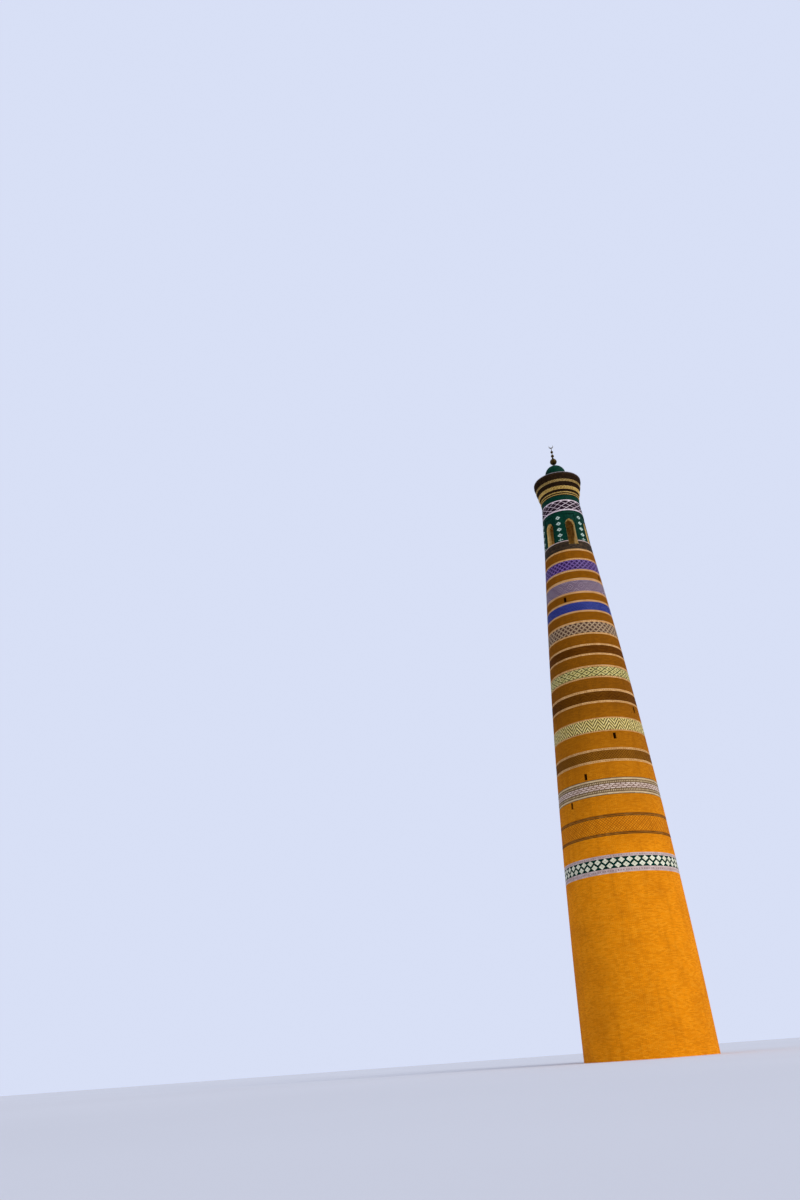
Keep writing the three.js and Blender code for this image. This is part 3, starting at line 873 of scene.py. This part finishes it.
def pier(number, bearing):
    """One pier up to the springing, with its recess faces, gold brick reveals and green face."""
    name = f"lantern_pier_{number}"
    heights = np.linspace(SILL_TOP, SPRING, 3)
    half = BAY_PITCH / 2
    face_half = half - RECESS_HALF_ANGLE
    outer, mid = lantern_skin(heights), recess_face(heights)
    opening = half - opening_bearing(OPENING_HALF_WIDTH, mid)
    opening_in = half - opening_bearing(OPENING_HALF_WIDTH, LANTERN_INNER)
    patches = Patches()
    face = ring_points(bearing + np.linspace(-face_half, face_half, 9), outer[:, None], heights[:, None])
    inner = ring_points(bearing + np.linspace(-opening_in, opening_in, 9), LANTERN_INNER, heights[:, None])
    patches.add(face)
    patches.add(inner, 1)
    sides = []
    for side in (-1, 1):
        lines = [ring_points(bearing + side * reach, radius, heights)
                 for reach, radius in ((face_half, outer), (face_half, mid), ((face_half + opening) / 2, mid),
                                       (opening, mid))]
        lines.append(inner[:, 0 if side < 0 else -1])
        for first, second, material in zip(lines, lines[1:], (0, 0, 0, 1)):
            patches.strip(first, second, material)
        sides.append(lines)
    for j in (0, -1):
        patches.strip(face[j], inner[j])
        for lines in sides:
            patches.face([line[j] for line in lines])
    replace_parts(patches.build(f"{name}_core", [DEEP_GREEN, GOLD_BRICK]), name)
    pier_tiles(name, bearing, face_half, SILL_TOP, SPRING)


def pier_tiles(name, bearing, half, bottom, top):
    """A pier's green face, with the white marks that lie on this part of it."""
    mosaic(f"{name}_tiles", bottom, top, round((top - bottom) / LANTERN_ROW), 18, all_one, [GREEN],
           "lantern_tile", lantern_radius, 2, bearing - half, 2 * half, inset=FIELD_INSET)
    inside = [(bearing, height) for height in PIER_MARKS if bottom < height < top]
    rhombs(f"{name}_diamonds", inside, 7.0, 0.096, [MARK], lantern_radius, 3, ring_only)
    if bottom < PIER_STAR < top:
        rhombs(f"{name}_star", [(bearing, PIER_STAR)], 6.4, 0.076, [MARK], lantern_radius,
               3, lambda i, j: (i + j) % 2 == 0)


def bay_axes(bay):
    """Directions out through an opening and across it."""
    turn = math.radians(bay)
    return np.array([math.sin(turn), -math.cos(turn), 0]), np.array([math.cos(turn), math.sin(turn), 0])


def wall_beside(height):
    """Radii of the inside and the outside of the wall beside an opening."""
    if height > SILL_TOP:
        return LANTERN_INNER, recess_face(height)
    if height > SHAFT_TOP:
        return LANTERN_INNER, lantern_skin(height)
    return FLOOR_RADIUS, shaft_skin(height)


def opening_bricks(number, bay, foot):
    """Paler gold brick, with painted light, on both jambs of an opening and under its arch, two bricks deep.
    """
    end_gap, half_height = 0.002, 0.004
    jamb_rows = round((SPRING - foot) / BRICK_PITCH)
    arch_rows = round(ARCH_RADIUS * ARCH_CROWN / BRICK_PITCH)
    line = [(OPENING_HALF_WIDTH, height, 0.0) for height in np.linspace(foot, SPRING, jamb_rows + 1)[:-1]]
    line += [(*arch_point(angle), angle) for angle in np.linspace(0, ARCH_CROWN, arch_rows + 1)]
    along, across = bay_axes(bay)
    front, back = [], []
    for side in (-1, 1):
        for row, (first, second) in enumerate(zip(line, line[1:])):
            low, high, angle = np.array(first[:2]), np.array(second[:2]), (first[2] + second[2]) / 2
            gap = (high - low) * JOINT / 2 / np.linalg.norm(high - low)
            low, high = low + gap, high - gap
            inner, outer = wall_beside((low[1] + high[1]) / 2)
            near = math.sqrt(inner ** 2 - high[0] ** 2) + end_gap
            far = math.sqrt(outer ** 2 - low[0] ** 2) - end_gap
            split = near + (far - near) * (0.35 if row % 2 else 0.65)
            for start, stop in ((near, split - JOINT / 2), (split + JOINT / 2, far)):
                corners = np.array([side * across * x + along * depth + (0, 0, height) for depth, (x, height)
                                    in ((start, low), (stop, low), (stop, high), (start, high))])
                if side < 0:
                    corners = corners[[1, 0, 3, 2]]
                inward = -side * math.cos(angle) * across - np.array([0, 0, math.sin(angle)])
                front.append(corners + inward * half_height)
                back.append(corners - inward * half_height)
    prisms(f"opening_{number}_bricks", front, back, [LIT_REVEAL])


def threshold():
    """Bricks across the low sill of the first bay."""
    along, across = bay_axes(FIRST_BAY)
    edges = np.linspace(-OPENING_HALF_WIDTH, OPENING_HALF_WIDTH, 7)
    near, far = wall_beside(FLOOR_LEVEL)
    front, back = [], []
    for left, right in zip(edges + JOINT / 2, edges[1:] - JOINT / 2):
        level = FLOOR_LEVEL - FINE_RELIEF * rng.random()
        corners = np.array([across * x + along * math.sqrt(radius ** 2 - x ** 2) + (0, 0, level)
                            for x, radius in ((left, far), (right, far), (right, near), (left, near))])
        front.append(corners)
        back.append(corners - (0, 0, TILE_DEPTH))
    prisms("lantern_threshold_bricks", front, back, [GOLD_BRICK])


def lantern_head():
    """The ring over the springing, with six pointed arch heads and their square-headed recesses."""
    levels = np.array([SPRING, RECESS_TOP, LANTERN_TOP])
    half, pier_half = BAY_PITCH / 2, BAY_PITCH / 2 - RECESS_HALF_ANGLE
    across = np.array([arch_point(angle)[0] for angle in np.linspace(0, ARCH_CROWN, 9)])
    across = np.concatenate([-across, across[-2::-1]])
    arch = arch_height(across)
    recess_radius = recess_face(RECESS_TOP)
    patches = Patches()
    for bay in bay_bearings():
        lower = ring_points(bay + opening_bearing(across, recess_face(arch)), recess_face(arch), arch)
        upper = ring_points(bay + opening_bearing(across, recess_radius), recess_radius, RECESS_TOP)
        soffit, ceiling = (ring_points(bay + opening_bearing(across, LANTERN_INNER), LANTERN_INNER, height)
                           for height in (arch, LANTERN_TOP))
        for first, second, material in ((lower, upper, 0), (lower, soffit, 2), (soffit, ceiling, 1)):
            patches.strip(first, second, material)
        for side in (-1, 1):
            edge = bay + side * RECESS_HALF_ANGLE
            sides = [[bay + side * opening_bearing(OPENING_HALF_WIDTH, recess_face(height)), edge]
                     for height in levels[:2]]
            low, high = (ring_points(pair, recess_face(height), height)
                         for pair, height in zip(sides, levels))
            patches.strip(low, high)
            proud = ring_points(edge, lantern_skin(levels[:2]), levels[:2])
            patches.strip([low[1], high[1]], proud)
            wing = bay + side * np.linspace(RECESS_HALF_ANGLE, half, 5)
            grid = ring_points(wing, lantern_skin(levels)[:, None], levels[:, None])
            patches.add(grid)
            wing_in = bay + side * np.linspace(opening_bearing(OPENING_HALF_WIDTH, LANTERN_INNER), half, 5)
            grid_in = ring_points(wing_in, LANTERN_INNER, levels[::2, None])
            patches.add(grid_in, 1)
            patches.strip(grid[0], grid_in[0])
            patches.strip(grid[-1], grid_in[-1])
            patches.face([low[0], low[1], proud[0], grid_in[0][0]])
        crown = opening_bearing(across, recess_radius)
        over = bay + np.array([-RECESS_HALF_ANGLE, *crown, RECESS_HALF_ANGLE])
        shelf = ring_points(over, recess_radius, RECESS_TOP)
        front = [ring_points(over, lantern_skin(height), height) for height in levels[1:]]
        for first, second in ((shelf, front[0]), (front[0], front[1]), (front[1][1:-1], ceiling)):
            patches.strip(first, second)
        for end, beside in ((0, 1), (-1, -2)):
            patches.face([front[1][end], front[1][beside], ceiling[end]])
    # The arch soffits take the paler reveal brick: painted light.
    body = patches.build("lantern_head_ring", [DEEP_GREEN, GOLD_BRICK, LIT_REVEAL])
    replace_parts(body, "lantern_head")
    for number, bay in enumerate(bay_bearings()):
        pier_tiles(f"lantern_head_{number + 1}", bay - half, pier_half, SPRING, RECESS_TOP)
    mosaic("lantern_head_tiles", RECESS_TOP, LANTERN_TOP, 5, 240, all_one, [GREEN],
           "lantern_tile", lantern_radius, 3, inset=FIELD_INSET)
    recess_tiles()


def recess_tiles():
    """Dark green tile round each opening, a raised rim along its edge and brick on its reveal."""
    bottom, top = SILL_TOP, RECESS_TOP - 0.002
    rows, columns, beside = 42, 20, 0.014
    for number, bay in enumerate(bay_bearings()):
        def pattern(column, row):
            height = bottom + (row + 0.5) * (top - bottom) / rows
            bearing = (column + 0.5) * 2 * RECESS_HALF_ANGLE / columns - RECESS_HALF_ANGLE
            across = np.abs(np.sin(np.radians(bearing)) * recess_face(height))
            clear = across > OPENING_HALF_WIDTH + beside
            above = height > arch_height(np.minimum(across, OPENING_HALF_WIDTH)) + ARCH_RIM_WIDTH
            return np.where(clear | above, 1, 0)
        mosaic(f"recess_{number + 1}_tiles", bottom, top, rows, columns, pattern, [GREEN], "lantern_tile",
               recess_outer, 2, bay - RECESS_HALF_ANGLE, 2 * RECESS_HALF_ANGLE)
        arch_rim(number + 1, bay)
        opening_bricks(number + 1, bay, FLOOR_LEVEL if number == 0 else SILL_TOP)


def recess_outer(height):
    return recess_face(height) + SKIN_INSET


def arch_rim(number, bay):
    """A narrow raised edge up both sides of an opening and over its arch."""
    proud, sunk = 0.012, 0.004
    wide = ARCH_RADIUS + ARCH_RIM_WIDTH
    inner_line = [(OPENING_HALF_WIDTH, height) for height in np.linspace(SILL_TOP, SPRING, 8)[:-1]]
    outer_line = [(OPENING_HALF_WIDTH + ARCH_RIM_WIDTH, height) for _, height in inner_line]
    angles = np.linspace(0, ARCH_CROWN, 9)
    inner_line += [arch_point(angle) for angle in angles]
    outer_line += [arch_point(angle, wide) for angle in angles[:-1]]
    outer_line.append((0, SPRING + math.sqrt(wide ** 2 - ARCH_SHIFT ** 2)))
    front, back = [], []
    for side in (-1, 1):
        for n in range(len(inner_line) - 1):
            quad = [inner_line[n], outer_line[n], outer_line[n + 1], inner_line[n + 1]]
            if side < 0:
                quad = [quad[1], quad[0], quad[3], quad[2]]
            across, height = np.array(quad).T
            bearing = bay + opening_bearing(side * across, recess_face(height))
            front.append(ring_points(bearing, recess_face(height) + proud, height))
            back.append(ring_points(bearing, recess_face(height) - sunk, height))
    prisms(f"arch_rim_{number}", front, back, [GREEN])


def inner_lining():
    """Gold brick on the inside of the lantern, cut to the openings, which shows through them."""
    parts = [
        (FLOOR_LEVEL, SHAFT_TOP, FLOOR_RADIUS, [FIRST_BAY]),
        (SHAFT_TOP, SILL_TOP, LANTERN_INNER, [FIRST_BAY]),
        (SILL_TOP, LANTERN_TOP, LANTERN_INNER, bay_bearings()),
    ]
    proud, sunk = 0.006, 0.004
    front, back = [], []
    for bottom, top, radius, bays in parts:
        rows = round((top - bottom) / BRICK_PITCH)
        edges = np.linspace(bottom, top, rows + 1)
        length, joint_angle = math.degrees(BRICK_LENGTH / radius), math.degrees(JOINT / radius)
        for row in range(rows):
            low, high = edges[row] + JOINT / 2, edges[row + 1] - JOINT / 2
            half = opening_bearing(opening_half_width(low), radius)
            for bay in bays:
                span = 360 / len(bays) - 2 * half
                for left, right in brick_row(bay + half, span, length, row % 2 == 1, joint_angle):
                    bearing, height = np.array([right, left, left, right]), np.array([low, low, high, high])
                    front.append(ring_points(bearing, radius - proud, height))
                    back.append(ring_points(bearing, radius + sunk, height))
    prisms("lantern_inner_bricks", front, back, [GOLD_BRICK])


# Neck, cornice and roof

def ring_core(name, node, section, material, inner_material=None, step=COLUMN_STEP):
    """A body turned from radius and height pairs; its faces inside have the inner material, if any.

    The pairs either start and end on the axis or go round a hollow body, whose last side closes itself.
    """
    bearings = np.arange(0, 361, step)
    patches = Patches()
    if section[0][0] > 0:
        section = section + section[:1]
    for lower, upper in zip(section, section[1:]):
        inside = inner_material is not None and max(lower[0], upper[0]) < LANTERN_INNER + 0.01
        patches.strip(ring_points(bearings, *lower), ring_points(bearings, *upper), int(inside))
    materials = [material] if inner_material is None else [material, inner_material]
    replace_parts(patches.build(name, materials), node)


def neck():
    """The white net over dark tile, and the plain green ring above it."""
    bottom, top = heights_of("neck_lattice_band")
    ring_core("neck_lattice_core", "neck_lattice_band",
              [(neck_radius(bottom) - SKIN_INSET, bottom), (neck_radius(top) - SKIN_INSET, top),
               (NECK_INNER, top), (NECK_INNER, bottom), (LANTERN_INNER, bottom)],
              AUBERGINE, GOLD_BRICK)
    mosaic("neck_lattice_ground", bottom, top, 16, 180, all_one, [PALE_PINK], "white_tile", neck_radius, 3,
           inset=GROUND_INSET)
    rhombs("neck_lattice_diamonds", net_middles(15, 15.0, 22.246, 0.120, 5), 10.7, 0.107, [AUBERGINE],
           neck_radius, 3, limits=(22.262, 22.772), joint=0.015)
    bottom, top = heights_of("neck_ring")
    ring_core("neck_ring_core", "neck_ring",
              [(NECK_RADIUS - SKIN_INSET, bottom), (NECK_RADIUS - SKIN_INSET, top), (NECK_INNER, top),
               (NECK_INNER, bottom)], DEEP_GREEN, GOLD_BRICK)
    mosaic("neck_ring_tiles", bottom, top, 8, 200, all_one, [GREEN], "lantern_tile",
           lambda height: NECK_RADIUS + 0 * height, 2)


def tier_surface(below, radius, bottom, top):
    """Radius of a cornice tier: it leans out, and ends in an upright lip."""
    def outer(height):
        t = np.clip((height - bottom) / (top - TIER_LIP - bottom), 0, 1)
        return below + (radius - below) * t
    return outer


def niche_row(name, outer, foot, height, gilding):
    """Small pointed niches side by side, each drawn by two legs and two leaning strokes."""
    count, depth = 90, 0.020
    pitch = 360 / count
    half, stroke = 0.44 * pitch, 0.27 * pitch
    spring, crown = foot + 0.55 * height, foot + height
    under = crown - 0.22 * height
    shapes = [
        [(-half, foot), (-half + stroke, foot), (-half + stroke, spring), (-half, spring)],
        [(half - stroke, foot), (half, foot), (half, spring), (half - stroke, spring)],
        [(-half, spring), (-half + stroke, spring), (0, under), (0, crown)],
        [(half - stroke, spring), (half, spring), (0, crown), (0, under)],
    ]
    front, back = [], []
    for n in range(count):
        for shape in shapes:
            across, level = np.array(shape).T
            front.append(ring_points(n * pitch + across, outer(level) - FACE_INSET, level))
            back.append(ring_points(n * pitch + across, outer(level) - depth, level))
    return prisms(name, front, back, [gilding])


def cornice():
    """Three corbelled tiers: one with a row of dots, two with gilt niches, each over a gilt line."""
    recess, line_height, dots_height = 0.016, 0.028, 0.060
    below = NECK_RADIUS
    bottom = heights_of("neck_ring")[1]
    for number in (1, 2, 3):
        node = f"cornice_tier_{number}"
        top, radius = heights_of(node)[1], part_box(node)[1].x
        outer = tier_surface(below, radius, bottom, top)
        gilding = OLD_GILT_TILE if number == 3 else GILT_TILE
        ring_core(f"{node}_core", node,
                  [(below - recess, bottom), (radius - recess, top - TIER_LIP), (radius - recess, top),
                   (NECK_INNER, top), (NECK_INNER, bottom)], CORNICE, GOLD_BRICK)
        if number == 1:
            dots, line = top - 0.066, bottom + 0.038
            mosaic(f"{node}_dots", dots, dots + dots_height, 2, 180, checker, [gilding], "cornice", outer, 1)
        else:
            tall = 0.135 if number == 2 else 0.095
            niche_row(f"{node}_niches", outer, top - tall, tall - 0.004, gilding)
            line = top - tall - 0.034
            mosaic(f"{node}_bricks", bottom, line, round((line - bottom) / CORNICE_ROW), 180, checker,
                   [CORNICE], "cornice", outer, 1)
        mosaic(f"{node}_line", line, line + line_height, 1, 180, all_one, [gilding], "cornice", outer, 1,
               joint=0.006)
        below = radius - TIER_RECESS
        bottom = top
    rim(below, bottom)


def checker(column, row):
    """Every second cell, shifted from row to row."""
    return (column + row + 1) % 2


def rim(below, bottom):
    """The dark rim that leans out over the last tier, its pale edge, and the roof behind it."""
    inset, kerb, underside, eye = 0.010, 0.022, 24.057, 0.370
    bed, edge = ROOF - 0.012, ROOF - 0.034
    section = [(below - inset, bottom), (RIM_RADIUS - inset, RIM_FOOT), (RIM_RADIUS - inset, bed), (eye, bed),
               (eye, underside), (NECK_INNER, underside), (NECK_INNER, bottom)]
    ring_core("cornice_rim_core", "cornice_rim", section, CORNICE, GOLD_BRICK)

    def outer(height):
        return below + (RIM_RADIUS - below) * np.clip((height - bottom) / (RIM_FOOT - bottom), 0, 1)
    mosaic("cornice_rim_bricks", bottom, RIM_FOOT, round((RIM_FOOT - bottom) / CORNICE_ROW), 180, checker,
           [CORNICE], "cornice", outer, 1)
    mosaic("cornice_rim_upright", RIM_FOOT, edge, 3, 180, all_one, [CORNICE], "cornice", outer, 2)
    mosaic("cornice_rim_edge", edge, ROOF, 1, 150, all_one, [RIM_EDGE], "cornice", outer, 1)
    paving("roof_bricks", DRUM_RADIUS, RIM_RADIUS - kerb, ROOF, ROOF_PAVING)


# Dome, finial and crescent


def arc(radius, centre, start, stop, steps):
    """Radius and height pairs round a centre on the axis, between two angles from the level."""
    angles = np.radians(np.linspace(start, stop, steps + 1))
    return [(radius * math.cos(a), centre + radius * math.sin(a)) for a in angles]


def dome():
    """The shell of the dome and its drum, with the tiles on them; gives the height of its top."""
    inner, skin, tile_skin, tile_back = 0.380, 0.006, 0.0012, 0.009
    row_height, tile_width, drum_count = 0.040, 0.050, 60
    gap, edge, lean_edge = 0.12, 0.001, 0.002
    foot_angle = -math.degrees(math.acos(DRUM_RADIUS / DOME_RADIUS))
    drum_top = DOME_CENTRE + DOME_RADIUS * math.sin(math.radians(foot_angle))
    inside = [(0.0, DOME_CENTRE + inner)] + arc(inner, DOME_CENTRE, 90, 0, 12)[1:] + [(inner, ROOF)]
    outside = [(DRUM_RADIUS - skin, ROOF)] + arc(DOME_RADIUS - skin, DOME_CENTRE, foot_angle, 88, 30)
    section = inside + outside + [(0.0, outside[-1][1])]
    ring_core("dome_shell", "dome", section, DEEP_GREEN, step=5)
    front, back = [], []

    def add_row(radii, levels, lean, count, shift):
        """Tiles round the dome between two radii and levels, on a face that leans back by an angle."""
        for n in range(count):
            left, right = 360 / count * (n + shift) + gap, 360 / count * (n + 1 + shift) - gap
            for target, depth in ((front, tile_skin), (back, tile_back)):
                target.append(ring_points([left, right, right, left],
                                          np.repeat(radii, 2) - depth * math.cos(lean),
                                          np.repeat(levels, 2) - depth * math.sin(lean)))
    edges = np.linspace(ROOF + 2 * edge, drum_top, round((drum_top - ROOF) / row_height) + 1)
    for row, (low, high) in enumerate(zip(edges + edge, edges[1:] - edge)):
        add_row((DRUM_RADIUS, DRUM_RADIUS), (low, high), 0.0, drum_count, row % 2 / 2)
    angles = np.radians(np.linspace(foot_angle, 82, 21))
    for row, pair in enumerate(zip(angles + lean_edge, angles[1:] - lean_edge)):
        pair = np.array(pair)
        radii = DOME_RADIUS * np.cos(pair)
        count = max(10, round(2 * math.pi * radii[0] / tile_width))
        add_row(radii, DOME_CENTRE + DOME_RADIUS * np.sin(pair), pair.mean(), count, row % 2 / 2)
    prisms("dome_tiles", front, back, [GREEN])
    return heights_of("dome")[1]


def finial(apex):
    """A rod with three balls: the largest has a raised band and tapers up to the next."""
    rod, waist, collar, raised, taper_top = 0.014, 0.021, 0.028, 0.004, 25.700
    balls = [(25.448, 0.158), (25.779, 0.074), (26.006, 0.064)]
    rod_top = heights_of("finial")[1]
    profile = [(0.0, apex - 0.02), (0.058, apex - 0.02), (0.056, apex + 0.010), (0.040, apex + 0.022),
               (collar, apex + 0.040)]
    for index, (centre, radius) in enumerate(balls):
        neck_angle = math.degrees(math.acos(waist / radius))
        if index == 0:
            profile += arc(radius, centre, -neck_angle, -4, 14)
            profile += [(radius + raised, centre - 0.006), (radius + raised, centre + 0.006)]
            profile += arc(radius, centre, 4, 52, 8)
            start_radius, start = profile[-1]
            profile += [(collar + (start_radius - collar) * (1 - t) ** 1.6, start + (taper_top - start) * t)
                        for t in np.linspace(0.15, 1, 7)]
        else:
            profile += arc(radius, centre, -neck_angle, neck_angle, 12)
    profile += [(rod, balls[-1][0] + 0.100), (rod, rod_top), (0.0, rod_top)]
    ring_core("finial_balls", "finial", profile, GILT, step=7.5)


def crescent():
    """A crescent in the plane that faces the photographer, with its tips up."""
    low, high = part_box("crescent")
    radius, inner_radius, rise, foot = 0.104, 0.084, 0.034, 0.026
    drop = math.sqrt(radius ** 2 - foot ** 2)
    tip = (radius ** 2 - inner_radius ** 2 + rise ** 2) / (2 * rise)
    lines = []
    for reach, lift in ((radius, 0.0), (inner_radius, rise)):
        end = math.degrees(math.asin((tip - lift) / reach))
        angles = np.radians(np.linspace(-180 - end, end, 41))
        lines.append(np.stack([reach * np.cos(angles), lift + reach * np.sin(angles)], axis=1))
    outline, hollow = lines
    outline[:, 1] = np.maximum(outline[:, 1], -drop)
    middle = (outline + hollow) / 2
    half = (high.y - low.y) / 2
    patches = Patches()
    rings = [np.stack([line[:, 0], np.full(len(line), depth), low.z + drop + line[:, 1]], axis=1)
             for line, depth in ((outline, half / 2), (middle, half), (hollow, half / 2), (hollow, -half / 2),
                                 (middle, -half), (outline, -half / 2), (outline, half / 2))]
    patches.add(rings)
    for end in (0, -1):
        patches.face([ring[end] for ring in rings[:-1]])
    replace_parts(patches.build("crescent_moon", [SILVERED]), "crescent")


# Stage, light and camera

def stage():
    """A wide pale floor, which isn't part of the tower."""
    extent = 400
    corners = [(-extent, -extent, 0), (extent, -extent, 0), (extent, extent, 0), (-extent, extent, 0)]
    floor = bpy.data.meshes.new("floor")
    floor.from_pydata(corners, [], [(0, 1, 2, 3)])
    finish = Finish("pale_floor")
    tint = finish.mixed(finish.noise(0.05, 3), colour(186, 186, 190), colour(198, 198, 202))
    finish.link(tint, finish.shader.inputs["Base Color"])
    finish.shader.inputs["Roughness"].default_value = 0.9
    floor.materials.append(finish.material)
    body = bpy.data.objects.new("floor", floor)
    bpy.context.scene.collection.objects.link(body)


def light():
    """A pale sky and a broad soft sun from the photographer's right."""
    world = bpy.data.worlds.new("pale_sky")
    bpy.context.scene.world = world
    world.use_nodes = True
    background = world.node_tree.nodes["Background"]
    background.inputs["Color"].default_value = colour(224, 232, 255)
    background.inputs["Strength"].default_value = 0.92
    lamp = bpy.data.lights.new("key", "SUN")
    lamp.energy = 2.1
    lamp.angle = math.radians(40)
    body = bpy.data.objects.new("key", lamp)
    azimuth, elevation = 52, 34
    body.rotation_euler = (math.radians(90 - elevation), 0, math.radians(azimuth))
    bpy.context.scene.collection.objects.link(body)
    bpy.context.scene.view_settings.view_transform = "Standard"


def camera():
    """The photograph's camera: low on the ground, tilted up and rolled, with the tower right of centre."""
    distance, eye = 38.5, 0.35
    pitch, roll, aside = (math.radians(a) for a in (26.066, 4.22, 11.551))
    frame_height, focal = 1200, 950
    forward = np.array([-math.sin(aside), math.cos(aside), 0])
    right = np.array([math.cos(aside), math.sin(aside), 0])
    up = np.array([0, 0, 1])
    side = (math.cos(roll) * right + math.sin(roll) * math.sin(pitch) * forward
            - math.sin(roll) * math.cos(pitch) * up)
    ahead = math.cos(pitch) * forward + math.sin(pitch) * up
    top = np.cross(side, ahead)
    lens = bpy.data.cameras.new("camera")
    lens.sensor_fit = "VERTICAL"
    lens.sensor_height = 36
    lens.lens = focal / frame_height * lens.sensor_height
    lens.clip_end = 1000
    body = bpy.data.objects.new("camera", lens)
    matrix = np.eye(4)
    matrix[:3, 0], matrix[:3, 1], matrix[:3, 2] = side, top, -ahead
    matrix[:3, 3] = (0, -distance, eye)
    body.matrix_world = Matrix(matrix.tolist())
    bpy.context.scene.collection.objects.link(body)
    bpy.context.scene.camera = body


stage()
light()
camera()
plain_zones()
tile_bands()
dark_band()
ledge_wall()
lantern_sill()
lantern_floor()
for number, bay in enumerate(bay_bearings()):
    pier(number + 1, bay - BAY_PITCH / 2)
lantern_head()
inner_lining()
neck()
cornice()
finial(dome())
crescent()
